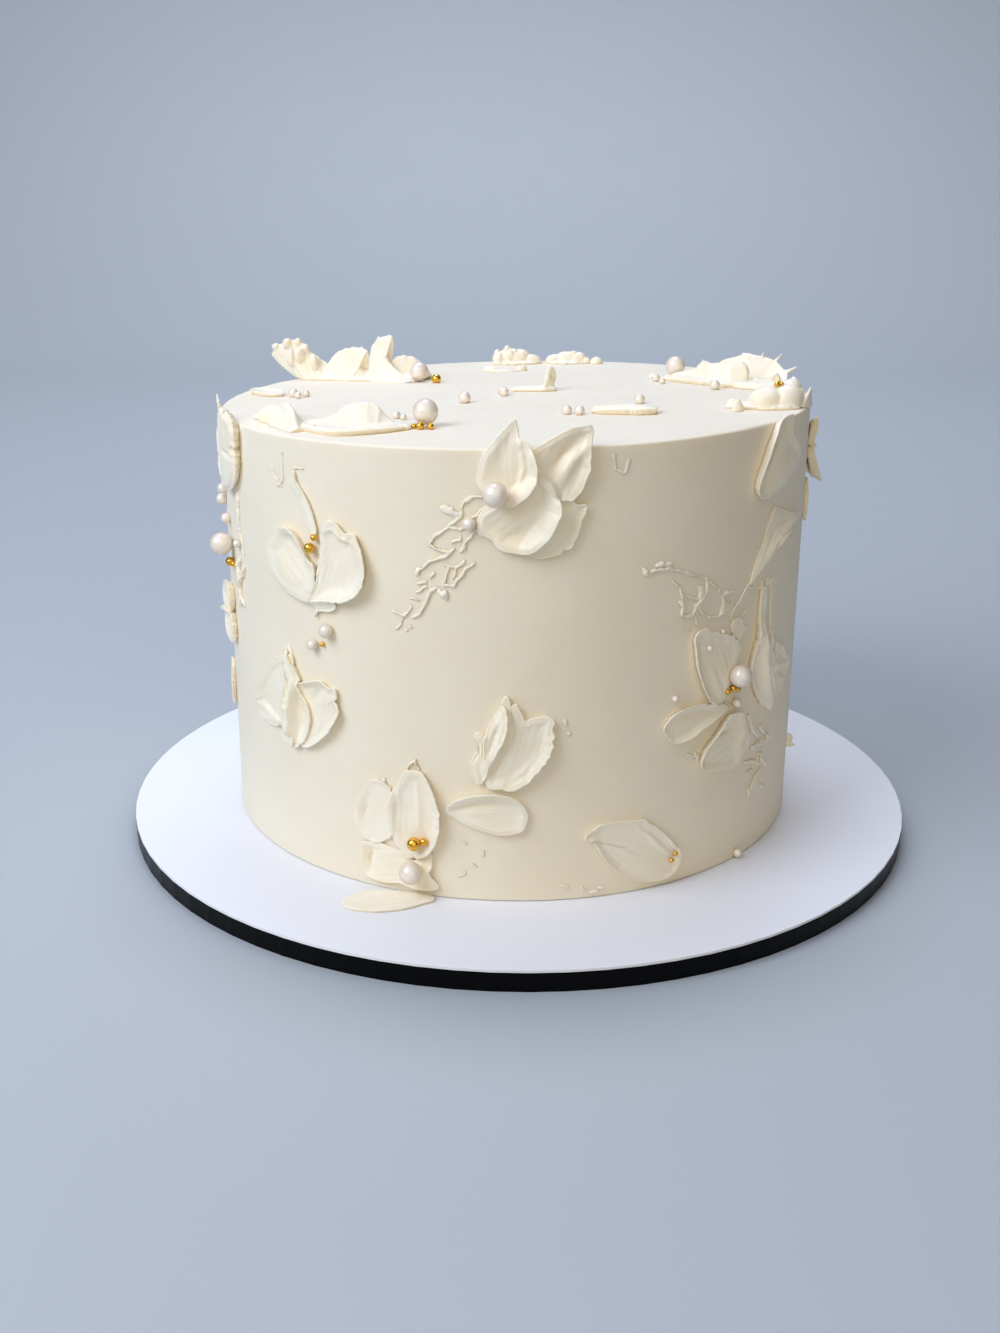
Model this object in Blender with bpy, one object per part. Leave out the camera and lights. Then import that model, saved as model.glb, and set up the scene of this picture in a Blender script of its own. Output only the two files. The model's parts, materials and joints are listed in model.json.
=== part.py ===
"""A round buttercream cake with palette-knife flowers, built together with its round board.

Metres, +Z up. The origin is the middle of the board's underside and the front of the cake faces -Y.
Decorations are placed in millimetres on the surface that carries them: on the side wall as the
distance along the wall from the front centre line and the height above the board, and on the
flat top or the board as X and Y from the cake's own axis.
"""

from dataclasses import dataclass
from math import cos, exp, hypot, pi, radians, sin

import bmesh
import bpy
from mathutils import Matrix, Vector

MM = 0.001
MERGE_DISTANCE = 0.000001

# Board: a dark core with a thin white face sheet on it
BOARD_RADIUS = 140.0
BOARD_CORE_TOP = 5.9
BOARD_FACE_BOTTOM = 6.2
BOARD_TOP = 7.0
BOARD_SEGMENTS = 80

# Cake: straight wall, flat top that rises a little to the right
GAP = 0.3
CAKE_RADIUS = 100.5
CAKE_X = -2.2
CAKE_Y = 2.7
CAKE_HEIGHT = 142.4
TOP_RISE = 0.022
CAKE_SEGMENTS = 84
TOP_EDGE_BEVEL = 0.8

# Buttercream strokes: faces, edges and how one lies on another
STROKE_ROWS = 7
NARROW_STROKE = 5.2
CUT_CLEARANCE = 0.35
CUTTER_DROP = 1.5
EDGE_THINNING = 0.55
EDGE_THINNING_WIDTH = 1.5
END_RIM_SHARE = 0.3
RIM_BLEND = 0.35
FOLD_HALF_WIDTH = 1.8
CROWN_FULLNESS = 0.7
LIFT_START = 0.2
UNDERSIDE_LIFT = 0.8
RESTING_SHARE = 0.8
RESTING_LIMIT = 1.2
FADE_OUTSIDE = 1.5
FADE_INSIDE = 0.5

# Pearls and metallic beads
PEARL_SEGMENTS = 10
PEARL_RINGS = 7
BEAD_SEGMENTS = 6
BEAD_RINGS = 4
BEAD_SEAT = 0.8

# Curled sheets and torn points on the top
CURL_THICKNESS = 1.3
CURL_ACROSS = 4
CURL_UP = 3
CURL_FOOT = 0.8
CURL_FOOT_WIDTH = 0.75
CURL_START_DEG = 88.0
SPIKE_FOOT_RADIUS = 1.1
SPIKE_TIP_RADIUS = 0.2
SPIKE_SEGMENTS = 5
SPIKE_ABOVE_CREST = 0.3

CREAM = ((0.85, 0.80, 0.70, 1.0), 0.45, 0.0)
PETAL = ((0.90, 0.87, 0.79, 1.0), 0.42, 0.0)
PEARL = ((0.86, 0.80, 0.79, 1.0), 0.25, 0.0)
CORE_BLACK = ((0.02, 0.02, 0.022, 1.0), 0.5, 0.0)
FACE_WHITE = ((0.82, 0.83, 0.88, 1.0), 0.4, 0.0)


@dataclass(frozen=True)
class Stroke:
    """One palette-knife stroke, in mm on its surface, from its base to its tip.

    ends says how sharp the base and the tip are: 0.3 is round and 1 is pointed.
    rims are the heights of the raised edge at the left, right, tip and base.
    bow bends the stroke to its left, pad is its thickness, fold a ridge along its
    middle, crown its swell and lift how far its tip stands off the surface.
    """

    name: str
    base: tuple
    tip: tuple
    half_width: float
    ends: tuple = (0.5, 0.5)
    rims: tuple = (1.0, 1.0, 1.0, 0.5)
    rim_width: float = 2.5
    bow: float = 0.0
    pad: float = 1.0
    fold: float = 0.0
    crown: float = 0.0
    lift: float = 0.0
    beads: tuple = ()


@dataclass(frozen=True)
class Curl:
    """A standing sheet that bends over like a wave, in mm on the cake's top.

    heading is the bearing it bends towards, bend how far it turns over, sweep how
    far its sides run ahead of its middle and droop how much lower they are.
    """

    place: tuple
    heading: float
    height: float
    width: float
    bend: float = 80.0
    sweep: float = 0.4
    droop: float = 0.45


@dataclass(frozen=True)
class Dollop:
    """A small flattened lump of buttercream."""

    place: tuple
    half_length: float
    half_width: float
    height: float
    turn: float = 0.0


def clear_scene():
    """Remove what the scene holds at the start."""
    for item in list(bpy.data.objects):
        bpy.data.objects.remove(item, do_unlink=True)


def smooth(low, high, value):
    """Rise gently from 0 at low to 1 at high."""
    t = min(1.0, max(0.0, (value - low) / (high - low)))
    return t * t * (3.0 - 2.0 * t)


# Surfaces that carry the decorations

def side_point(u, v, height):
    """Point on the side wall, u along it from the front centre line and v above the board."""
    angle = -pi / 2 + u / CAKE_RADIUS
    radius = CAKE_RADIUS + height
    x = CAKE_X + radius * cos(angle)
    y = CAKE_Y + radius * sin(angle)
    return Vector((x, y, BOARD_TOP + v)) * MM


def top_point(u, v, height):
    """Point over the cake's flat top, u and v from the cake's axis."""
    z = BOARD_TOP + GAP + CAKE_HEIGHT + TOP_RISE * u + height
    return Vector((CAKE_X + u, CAKE_Y + v, z)) * MM


def board_point(u, v, height):
    """Point over the board, u and v from the cake's axis."""
    return Vector((CAKE_X + u, CAKE_Y + v, BOARD_TOP + height)) * MM


def wall_at(angle_deg):
    """Distance along the wall of a bearing, where 270 is the front and 0 the right."""
    turn = (angle_deg - 270.0) % 360.0
    return radians(turn) * CAKE_RADIUS


# Objects, finishes and Booleans

def paint(item, finish):
    """Give a piece its own Principled material."""
    colour, roughness, metallic = finish
    material = bpy.data.materials.new(item.name + "_finish")
    material.use_nodes = True
    shader = material.node_tree.nodes["Principled BSDF"]
    shader.inputs["Base Color"].default_value = colour
    shader.inputs["Roughness"].default_value = roughness
    shader.inputs["Metallic"].default_value = metallic
    item.data.materials.clear()
    item.data.materials.append(material)


def object_from(bm, name):
    """Make a linked object of a mesh, its faces pointing out."""
    bmesh.ops.recalc_face_normals(bm, faces=bm.faces)
    mesh = bpy.data.meshes.new(name)
    bm.to_mesh(mesh)
    bm.free()
    item = bpy.data.objects.new(name, mesh)
    bpy.context.scene.collection.objects.link(item)
    return item


def bake(item):
    """Apply a piece's modifiers to its mesh."""
    graph = bpy.context.evaluated_depsgraph_get()
    mesh = bpy.data.meshes.new_from_object(item.evaluated_get(graph))
    item.modifiers.clear()
    item.data = mesh


def hide_tool(item):
    item.hide_render = True
    item.display_type = "WIRE"


def cut_away(item, cutters):
    """Take swollen copies of the upper pieces out of the one below them."""
    for number, cutter in enumerate(cutters):
        hide_tool(cutter)
        boolean = item.modifiers.new("cut_%d" % number, "BOOLEAN")
        boolean.operation = "DIFFERENCE"
        boolean.solver = "EXACT"
        boolean.object = cutter
    bake(item)
    for cutter in cutters:
        bpy.data.objects.remove(cutter, do_unlink=True)
    keep_main_body(item)


def fuse(item, additions):
    """Join small toppings or curls to a piece with one union on a collection."""
    toppings = bpy.data.collections.new(item.name + "_toppings")
    bpy.context.scene.collection.children.link(toppings)
    for addition in additions:
        bpy.context.scene.collection.objects.unlink(addition)
        toppings.objects.link(addition)
        hide_tool(addition)
    boolean = item.modifiers.new("fuse", "BOOLEAN")
    boolean.operation = "UNION"
    boolean.solver = "EXACT"
    boolean.operand_type = "COLLECTION"
    boolean.collection = toppings
    bake(item)
    for addition in additions:
        bpy.data.objects.remove(addition, do_unlink=True)
    bpy.data.collections.remove(toppings)
    keep_main_body(item)


def keep_main_body(item):
    """Drop the loose scraps that a cut leaves, and merge points that coincide."""
    bm = bmesh.new()
    bm.from_mesh(item.data)
    bmesh.ops.remove_doubles(bm, verts=bm.verts, dist=MERGE_DISTANCE)
    bodies = loose_bodies(bm)
    bodies.sort(key=len)
    scraps = [vert for body in bodies[:-1] for vert in body]
    bmesh.ops.delete(bm, geom=scraps, context="VERTS")
    bm.to_mesh(item.data)
    bm.free()


def loose_bodies(bm):
    """List the points of each connected body."""
    bodies = []
    seen = set()
    for start in bm.verts:
        if start in seen:
            continue
        seen.add(start)
        body = [start]
        for vert in body:
            for edge in vert.link_edges:
                other = edge.other_vert(vert)
                if other not in seen:
                    seen.add(other)
                    body.append(other)
        bodies.append(body)
    return bodies


def smooth_shade(item, angle_deg=35.0):
    """Shade a piece smooth with sharp edges past an angle."""
    for polygon in item.data.polygons:
        polygon.use_smooth = True
    item.data.set_sharp_from_angle(angle=radians(angle_deg))


# Knife strokes

def stroke_axes(stroke):
    """Base, length, direction and left-hand direction of a stroke."""
    base = Vector(stroke.base)
    run = Vector(stroke.tip) - base
    along = run.normalized()
    return base, run.length, along, Vector((-along.y, along.x))


def width_at(stroke, a):
    """Half width at the share a of the way from base to tip."""
    base_end, tip_end = stroke.ends
    widest = base_end / (base_end + tip_end)
    crest = widest ** base_end * (1.0 - widest) ** tip_end
    a = min(1.0, max(0.0, a))
    return stroke.half_width * a ** base_end * (1.0 - a) ** tip_end / crest


def edge_distance(stroke, a, b):
    """Distance from the outline in mm, where b runs from -1 at the right to 1 at the left."""
    step = 0.02
    length = stroke_axes(stroke)[1]
    rise = width_at(stroke, a + step) - width_at(stroke, a - step)
    slope = rise / (2.0 * step * length)
    return width_at(stroke, a) * (1.0 - abs(b)) / hypot(1.0, slope)


def rim_height(stroke, a, b):
    """Height of the raised edge nearest to a place on the stroke."""
    left, right, tip, base = stroke.rims
    side = right + (left - right) * smooth(-RIM_BLEND, RIM_BLEND, b)
    to_tip = smooth(1.0 - END_RIM_SHARE, 1.0, a)
    to_base = smooth(END_RIM_SHARE, 0.0, a)
    return side * (1.0 - to_tip - to_base) + tip * to_tip + base * to_base


def lift_at(stroke, a):
    """How far the stroke has left the surface on its way to the tip."""
    return stroke.lift * smooth(LIFT_START, 1.0, a)


def stroke_height(stroke, a, b):
    """Height of the stroke's upper face over its surface."""
    distance = edge_distance(stroke, a, b)
    thinning = EDGE_THINNING + (1.0 - EDGE_THINNING) * smooth(0.0, EDGE_THINNING_WIDTH, distance)
    near_edge = smooth(stroke.rim_width, 0.0, distance)
    hump = max(0.0, sin(pi * min(1.0, max(0.0, a))))
    crown = stroke.crown * (1.0 - b * b) * hump ** CROWN_FULLNESS
    fold = stroke.fold * exp(-((b * width_at(stroke, a) / FOLD_HALF_WIDTH) ** 2)) * hump
    own = stroke.pad * thinning + rim_height(stroke, a, b) * near_edge + crown + fold
    return own + lift_at(stroke, a)


def ground_height(lower, u, v):
    """Height of the strokes under a point, pressed down a little by what lies on them."""
    highest = 0.0
    for stroke in lower:
        base, length, along, across = stroke_axes(stroke)
        offset = Vector((u, v)) - base
        a = offset.dot(along) / length
        if not 0.0 < a < 1.0:
            continue
        half = max(0.01, width_at(stroke, a))
        centre = stroke.bow * 4.0 * a * (1.0 - a)
        b = (offset.dot(across) - centre) / half
        cover = smooth(-FADE_OUTSIDE, FADE_INSIDE, edge_distance(stroke, a, b))
        height = stroke_height(stroke, a, max(-1.0, min(1.0, b)))
        limited = min(height, stroke.pad + RESTING_LIMIT)
        highest = max(highest, limited * cover)
    return highest * RESTING_SHARE


def across_steps(stroke, half):
    """Places across a stroke where its faces begin, closer together at the raised edge."""
    outer = 1.0 - min(0.5 * stroke.rim_width / half, 0.3)
    inner = 1.0 - min(stroke.rim_width / half, 0.6)
    if stroke.half_width < NARROW_STROKE:
        return (-1.0, -inner, 0.0, inner, 1.0)
    return (-1.0, -outer, -inner, 0.0, inner, outer, 1.0)


def stroke_object(stroke, surface, lower=(), grow=0.0):
    """Close a stroke's rimmed top and its even underside into one body.

    A cutter is the same body swollen by grow, with its underside dropped clear.
    """
    base, length, along, across = stroke_axes(stroke)
    drop = CUTTER_DROP if grow else 0.0

    def place(a, b, is_top):
        half = width_at(stroke, a) + grow * (0.0 < a < 1.0)
        reach = a * length + grow * (2.0 * a - 1.0)
        sideways = stroke.bow * 4.0 * a * (1.0 - a) + b * half
        spot = base + along * reach + across * sideways
        if is_top:
            level = stroke_height(stroke, a, b) + ground_height(lower, spot.x, spot.y) + grow
        else:
            level = lift_at(stroke, a) * UNDERSIDE_LIFT - drop
        return surface(spot.x, spot.y, GAP + level)

    bm = bmesh.new()
    stations = [0.5 - 0.5 * cos(pi * row / STROKE_ROWS) for row in range(1, STROKE_ROWS)]
    top_rows = []
    low_rows = []
    for a in stations:
        steps = across_steps(stroke, width_at(stroke, a))
        top_rows.append([bm.verts.new(place(a, b, True)) for b in steps])
        low_rows.append([bm.verts.new(place(a, b, False)) for b in (-1.0, 0.0, 1.0)])
    top_ends = [bm.verts.new(place(end, 0.0, True)) for end in (0.0, 1.0)]
    low_ends = [bm.verts.new(place(end, 0.0, False)) for end in (0.0, 1.0)]
    for rows, ends in ((top_rows, top_ends), (low_rows, low_ends)):
        add_cap(bm, rows, ends)
    add_wall(bm, boundary(top_rows, top_ends), boundary(low_rows, low_ends))
    return object_from(bm, stroke.name)


def add_cap(bm, rows, ends):
    """Fill the faces between rows of points and close both ends to a point."""
    for near, far in zip(rows, rows[1:]):
        for column in range(len(near) - 1):
            bm.faces.new((near[column], near[column + 1], far[column + 1], far[column]))
    for row, end in ((rows[0], ends[0]), (rows[-1], ends[1])):
        for column in range(len(row) - 1):
            bm.faces.new((end, row[column], row[column + 1]))


def boundary(rows, ends):
    """Points round the outline of a cap, in order."""
    right = [row[0] for row in rows]
    left = [row[-1] for row in reversed(rows)]
    return [ends[0]] + right + [ends[1]] + left


def add_wall(bm, upper, lower):
    """Join two outlines that have the same number of points."""
    count = len(upper)
    for index in range(count):
        following = (index + 1) % count
        bm.faces.new((upper[index], upper[following], lower[following], lower[index]))


# Pearls, beads, dollops and curls

def ball(name, centre, radius, segments, rings):
    """A ball of a radius in mm, its middle at a point in metres."""
    bm = bmesh.new()
    bmesh.ops.create_uvsphere(bm, u_segments=segments, v_segments=rings, radius=radius * MM)
    item = object_from(bm, name)
    item.location = centre
    return item


def bead(surface, place, level=0.0):
    """A small bead pressed a little into what it lies on."""
    u, v, radius = place
    centre = surface(u, v, level + BEAD_SEAT * radius)
    return ball("bead", centre, radius, BEAD_SEGMENTS, BEAD_RINGS)


def surface_frame(surface, u, v):
    """Matrix whose X and Y run along the surface and whose Z points out of it."""
    origin = surface(u, v, 0.0)
    first = (surface(u + 1.0, v, 0.0) - origin).normalized()
    out = (surface(u, v, 1.0) - origin).normalized()
    second = out.cross(first)
    turn = Matrix((first, second, out)).transposed()
    return Matrix.Translation(origin) @ turn.to_4x4()


def dollop(surface, lump):
    """A flattened lump, half sunk in its surface."""
    bm = bmesh.new()
    bmesh.ops.create_uvsphere(bm, u_segments=BEAD_SEGMENTS, v_segments=BEAD_RINGS, radius=MM)
    size = Matrix.Diagonal((lump.half_length, lump.half_width, lump.height, 1.0))
    turn = Matrix.Rotation(radians(lump.turn), 4, "Z")
    frame = surface_frame(surface, *lump.place)
    bmesh.ops.transform(bm, matrix=frame @ turn @ size, verts=bm.verts)
    return object_from(bm, "dollop")


def curl_object(curl):
    """Sweep the wave profile of a standing curl and give it a thickness."""
    forward = Vector((cos(radians(curl.heading)), sin(radians(curl.heading))))
    sideways = Vector((-forward.y, forward.x))
    profile = wave_profile(curl)
    bm = bmesh.new()
    rows = []
    for column in range(CURL_ACROSS + 1):
        w = 2.0 * column / CURL_ACROSS - 1.0
        scale = 1.0 - curl.droop * w * w
        swept = curl.sweep * curl.width * w * w
        taper = 0.5 * curl.width * w
        row = []
        for run, rise in profile:
            spread = CURL_FOOT_WIDTH + (1.0 - CURL_FOOT_WIDTH) * min(1.0, rise / curl.height)
            spot = Vector(curl.place) + forward * (run * scale + swept) + sideways * taper * spread
            row.append(bm.verts.new(top_point(spot.x, spot.y, GAP + CURL_FOOT + rise * scale)))
        rows.append(row)
    for near, far in zip(rows, rows[1:]):
        for step in range(len(near) - 1):
            bm.faces.new((near[step], far[step], far[step + 1], near[step + 1]))
    item = object_from(bm, "curl")
    shell = item.modifiers.new("thickness", "SOLIDIFY")
    shell.thickness = CURL_THICKNESS * MM
    shell.offset = 0.0
    bake(item)
    return item


def wave_profile(curl):
    """Side view of a curl's middle, as run and rise in mm."""
    points = [(0.0, 0.0)]
    run = 0.0
    rise = 0.0
    for step in range(CURL_UP):
        slope = radians(CURL_START_DEG - curl.bend * (step + 0.5) / CURL_UP)
        run += cos(slope)
        rise += sin(slope)
        points.append((run, rise))
    factor = (curl.height - CURL_FOOT) / max(rise for run, rise in points)
    return [(run * factor, rise * factor) for run, rise in points]


def spike(place, height, lean_deg):
    """A thin torn point of buttercream on a crest, leaning about X and Y."""
    u, v, level = place
    bm = bmesh.new()
    bmesh.ops.create_cone(
        bm,
        cap_ends=True,
        segments=SPIKE_SEGMENTS,
        radius1=SPIKE_FOOT_RADIUS * MM,
        radius2=SPIKE_TIP_RADIUS * MM,
        depth=height * MM,
    )
    tilt = Matrix.Rotation(radians(lean_deg[0]), 4, "X") @ Matrix.Rotation(radians(lean_deg[1]), 4, "Y")
    shift = Matrix.Translation(top_point(u, v, level + SPIKE_ABOVE_CREST * height))
    bmesh.ops.transform(bm, matrix=shift @ tilt, verts=bm.verts)
    return object_from(bm, "spike")


# Board and cake

def disc(name, radius, bottom, top, segments, bevel=0.0):
    """A round plate about the board's axis, with an optional bevel round its upper edge."""
    bm = bmesh.new()
    depth = (top - bottom) * MM
    bmesh.ops.create_cone(
        bm, cap_ends=True, segments=segments, radius1=radius * MM, radius2=radius * MM, depth=depth
    )
    bmesh.ops.translate(bm, vec=(0.0, 0.0, (top + bottom) / 2 * MM), verts=bm.verts)
    if bevel:
        edges = [edge for edge in bm.edges if is_top_rim(edge, top)]
        bmesh.ops.bevel(bm, geom=edges, offset=bevel * MM, segments=1, affect="EDGES")
    return object_from(bm, name)


def is_top_rim(edge, top):
    """Tell whether an edge lies in a disc's upper face."""
    return all(abs(vert.co.z - top * MM) < MERGE_DISTANCE for vert in edge.verts)


def build_board():
    """Two round sheets, one on the other."""
    core = disc("board_core", BOARD_RADIUS, 0.0, BOARD_CORE_TOP, BOARD_SEGMENTS)
    face = disc("board_face", BOARD_RADIUS, BOARD_FACE_BOTTOM, BOARD_TOP, BOARD_SEGMENTS)
    paint(core, CORE_BLACK)
    paint(face, FACE_WHITE)
    for item in (core, face):
        smooth_shade(item)


def plain_cake(name, grow=0.0):
    """The bare cylinder, its top tilted a little, with a crisp scraped edge."""
    bottom = BOARD_TOP + GAP
    top = bottom + CAKE_HEIGHT
    item = disc(name, CAKE_RADIUS + grow, bottom - 2.0 * grow, top, CAKE_SEGMENTS, TOP_EDGE_BEVEL)
    for vert in item.data.vertices:
        if vert.co.z > (top - 2.0 * TOP_EDGE_BEVEL) * MM:
            vert.co.z += TOP_RISE * vert.co.x
        vert.co.x += CAKE_X * MM
        vert.co.y += CAKE_Y * MM
    return item


def build_cake():
    """The iced cake with the small beads and lumps that lie on it."""
    body = plain_cake("cake_body")
    additions = [bead(side_point, place) for place in WALL_BEADS]
    additions += [bead(top_point, place) for place in TOP_BEADS]
    additions += [dollop(side_point, lump) for lump in WALL_DOLLOPS]
    additions += [dollop(top_point, lump) for lump in TOP_DOLLOPS]
    fuse(body, additions)
    paint(body, CREAM)
    smooth_shade(body)


def build_pearls():
    """The large sugar pearls, each a piece of its own."""
    for name, surface, u, v, radius, level in PEARLS:
        item = ball(name, surface(u, v, level + radius), radius, PEARL_SEGMENTS, PEARL_RINGS)
        paint(item, PEARL)
        smooth_shade(item, 60.0)


def pearl_cutters(names):
    """Swollen copies of the named pearls."""
    cutters = []
    for name, surface, u, v, radius, level in PEARLS:
        if name in names:
            centre = surface(u, v, level + radius)
            cutters.append(ball("cutter", centre, radius + CUT_CLEARANCE, PEARL_SEGMENTS, PEARL_RINGS))
    return cutters


def build_flower(strokes, surface, pearls=(), more_cutters=None):
    """Lay the strokes of one flower on each other, the last one on top."""
    for index, stroke in enumerate(strokes):
        lower = strokes[:index]
        item = stroke_object(stroke, surface, lower)
        cutters = pearl_cutters(pearls)
        for number in range(index + 1, len(strokes)):
            cutters.append(stroke_object(strokes[number], surface, strokes[:number], CUT_CLEARANCE))
        if more_cutters:
            cutters += more_cutters()
        if cutters:
            cut_away(item, cutters)
        if stroke.beads:
            fuse(item, [stroke_bead(stroke, surface, lower, place) for place in stroke.beads])
        item.name = stroke.name
        paint(item, PETAL)
        smooth_shade(item)


def stroke_bead(stroke, surface, lower, place):
    """A bead that lies on a stroke."""
    level = GAP + stroke.pad + ground_height(lower, place[0], place[1])
    return bead(surface, place, level)


def build_cluster(name, strokes, curls, spikes=(), pearls=()):
    """Fuse the mounds and curls of one cluster on the top into a single piece."""
    mounds = [stroke_object(stroke, top_point) for stroke in strokes]
    parts = [curl_object(curl) for curl in curls]
    parts += [spike(*entry) for entry in spikes]
    item = mounds[0]
    fuse(item, mounds[1:] + parts)
    cutters = pearl_cutters(pearls)
    if cutters:
        cut_away(item, cutters)
    item.name = name
    paint(item, PETAL)
    smooth_shade(item)


# Side wall, from the front centre round both ways

FRONT_FLOWER = (
    Stroke("front_petal_behind", (3.0, 113.0), (16.5, 127.5), 6.2, (0.45, 0.45), (0.4, 0.8, 1.0, 0.5),
           2.0, bow=-1.5, pad=1.0),
    Stroke("front_petal_cupped", (-12.0, 119.0), (8.6, 133.4), 8.5, (0.45, 0.5), (0.4, 3.0, 2.4, 0.6),
           5.0, bow=-4.5, pad=1.3),
    Stroke("front_petal_right", (9.0, 129.5), (19.3, 149.5), 7.5, (0.6, 0.85), (0.6, 1.5, 0.5, 1.0),
           2.5, bow=3.0, pad=1.1, fold=1.3),
    Stroke("front_petal_left", (-4.5, 126.8), (-2.2, 150.5), 8.0, (0.5, 0.8), (0.5, 3.0, 0.3, 2.2),
           4.0, pad=1.1),
)
HEART_FLOWER = (
    Stroke("heart_stem", (-66.5, 114.5), (-75.0, 130.0), 3.0, (0.7, 0.4), (0.1, 0.9, 0.5, 0.1),
           1.4, bow=-1.0, pad=0.7),
    Stroke("heart_petal_left", (-69.0, 91.5), (-84.0, 110.5), 8.8, (0.55, 0.3), (1.7, 1.2, 0.5, 1.0),
           5.0, pad=1.2),
    Stroke("heart_petal_right", (-66.0, 92.5), (-54.5, 117.3), 8.3, (0.4, 0.35), (0.8, 2.6, 0.7, 2.2),
           4.0, bow=-4.0, pad=1.1),
)
TULIP_FLOWER = (
    Stroke("tulip_petal_left", (-79.0, 43.0), (-89.5, 69.0), 10.5, (0.7, 0.5), (0.7, 1.0, 0.8, 0.6),
           3.0, bow=3.8, pad=1.1),
    Stroke("tulip_petal_right", (-75.0, 43.5), (-61.0, 65.5), 6.8, (0.5, 0.4), (0.9, 1.7, 0.5, 1.0),
           2.5, pad=1.0),
    Stroke("tulip_fold", (-77.5, 42.0), (-76.5, 66.0), 4.6, (0.7, 0.8), (2.4, 2.6, 0.6, 0.6),
           3.2, bow=-1.2, pad=1.2),
)
BASE_FLOWER = (
    Stroke("base_petal_low", (-30.0, 6.5), (-51.5, 9.5), 5.9, (0.5, 0.35), (0.7, 0.6, 1.6, 0.5),
           3.0, pad=1.2),
    Stroke("base_petal_small", (-30.3, 15.0), (-29.3, 2.2), 4.0, (0.6, 0.5), (0.9, 0.5, 0.8, 0.5),
           2.0, pad=1.0),
    Stroke("base_petal_left", (-38.0, 15.0), (-49.0, 36.5), 9.0, (0.5, 0.4), (0.9, 0.4, 0.7, 0.4),
           3.0, bow=2.0, pad=1.0),
    Stroke("base_petal_tall", (-33.0, 11.5), (-32.8, 43.5), 8.3, (0.65, 0.5), (1.2, 2.2, 0.5, 0.6),
           4.5, pad=1.2, beads=((-32.2, 18.8, 2.2), (-29.2, 19.7, 1.3))),
)
SHELL_FLOWER = (
    Stroke("shell_petal", (-5.0, 39.0), (0.5, 66.5), 9.2, (0.45, 0.4), (1.0, 0.6, 0.4, 1.1),
           3.0, bow=-3.0, pad=1.3),
    Stroke("shell_scrap", (-12.0, 40.5), (-11.0, 57.5), 2.5, (0.4, 0.8), (0.4, 0.4, 0.2, 0.4),
           1.6, pad=1.6, crown=0.8),
    Stroke("shell_fold", (-9.5, 42.0), (-3.8, 68.0), 3.3, (0.7, 0.7), (1.2, 1.9, 0.4, 0.5),
           2.6, bow=0.6, pad=1.5, crown=0.8),
)
OVAL_PETAL = (
    Stroke("oval_petal", (-22.0, 30.7), (2.3, 29.6), 6.6, (0.6, 0.35), (2.2, 0.5, 1.0, 0.8),
           4.0, bow=0.4, pad=1.1),
)
TILTED_PETAL = (
    Stroke("tilted_petal", (20.5, 22.0), (53.5, 7.7), 8.8, (0.5, 0.42), (0.9, 1.0, 1.2, 0.6),
           2.6, bow=0.6, pad=1.0, beads=((51.5, 11.0, 0.8), (50.2, 9.0, 0.8))),
)
RIGHT_FLOWER = (
    Stroke("right_petal_outer", (94.0, 72.5), (103.5, 53.0), 6.8, (0.4, 0.4), (1.2, 0.5, 0.8, 0.4),
           3.0, bow=1.8, pad=1.2),
    Stroke("right_petal_side", (70.0, 57.0), (45.8, 53.6), 5.0, (0.8, 0.45), (0.9, 1.2, 0.7, 0.5),
           2.2, bow=0.5, pad=0.9),
    Stroke("right_petal_lower", (82.0, 45.0), (60.3, 39.7), 7.0, (0.4, 0.5), (0.6, 2.0, 0.7, 1.8),
           3.5, pad=1.1),
    Stroke("right_petal_cupped", (70.0, 59.8), (57.5, 84.3), 8.0, (0.55, 0.4), (1.8, 0.6, 0.7, 0.8),
           2.8, bow=-2.0, pad=1.1, beads=((61.0, 78.2, 1.0),)),
    Stroke("right_petal_spear", (96.5, 48.0), (86.5, 91.0), 4.8, (0.6, 1.1), (0.5, 2.6, 0.5, 0.4),
           3.5, bow=4.6, pad=1.3),
)
WEDGE_STROKE = (
    Stroke("wedge_stroke", (79.8, 95.0), (100.5, 115.2), 7.6, (1.0, 0.16), (0.6, 1.1, 1.0, 0.3),
           1.8, bow=0.8, pad=0.9),
)
RIM_PETAL = (
    Stroke("rim_petal_right", (94.0, 145.5), (80.0, 122.8), 8.0, (0.35, 0.5), (2.0, 2.0, 1.2, 0.6),
           2.6, bow=3.6, pad=1.1),
)
LEFT_RIM_STROKES = (
    Stroke("left_rim_stroke", (-117.5, 116.0), (-118.5, 146.5), 11.0, (0.3, 0.3), (2.0, 2.6, 0.5, 1.4),
           4.0, pad=1.9),
    Stroke("left_petal_upper", (-128.0, 73.5), (-130.5, 84.0), 5.6, (0.4, 0.4), (1.8, 1.2, 1.4, 0.8),
           2.5, pad=1.7),
    Stroke("left_petal_lower", (-124.5, 64.0), (-130.0, 75.5), 4.6, (0.5, 0.45), (1.8, 1.0, 1.4, 0.8),
           2.5, pad=1.6),
    Stroke("left_petal_low", (-146.0, 34.5), (-142.5, 51.5), 5.6, (0.5, 0.45), (0.8, 0.9, 0.6, 0.6),
           2.5, pad=1.0),
)
FAR_RIGHT_FLOWER = (
    Stroke("far_right_petal_thin", (143.0, 117.5), (140.0, 103.5), 5.0, (0.5, 0.5), (0.6, 0.9, 0.7, 0.4),
           2.2, pad=0.9),
    Stroke("far_right_petal_back", (148.5, 128.5), (167.0, 121.0), 7.6, (0.5, 0.45), (0.8, 2.2, 1.4, 0.6),
           3.5, pad=1.1, beads=((154.0, 126.0, 1.6),)),
    Stroke("far_right_petal_point", (144.5, 129.5), (138.5, 139.0), 4.6, (0.5, 0.9), (1.0, 0.8, 0.6, 0.4),
           2.0, pad=1.0, lift=1.8),
    Stroke("far_right_petal_spoon", (144.0, 131.0), (140.0, 117.5), 5.8, (0.6, 0.4), (0.9, 1.4, 1.6, 0.5),
           2.6, pad=1.1, lift=2.6),
)
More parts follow.
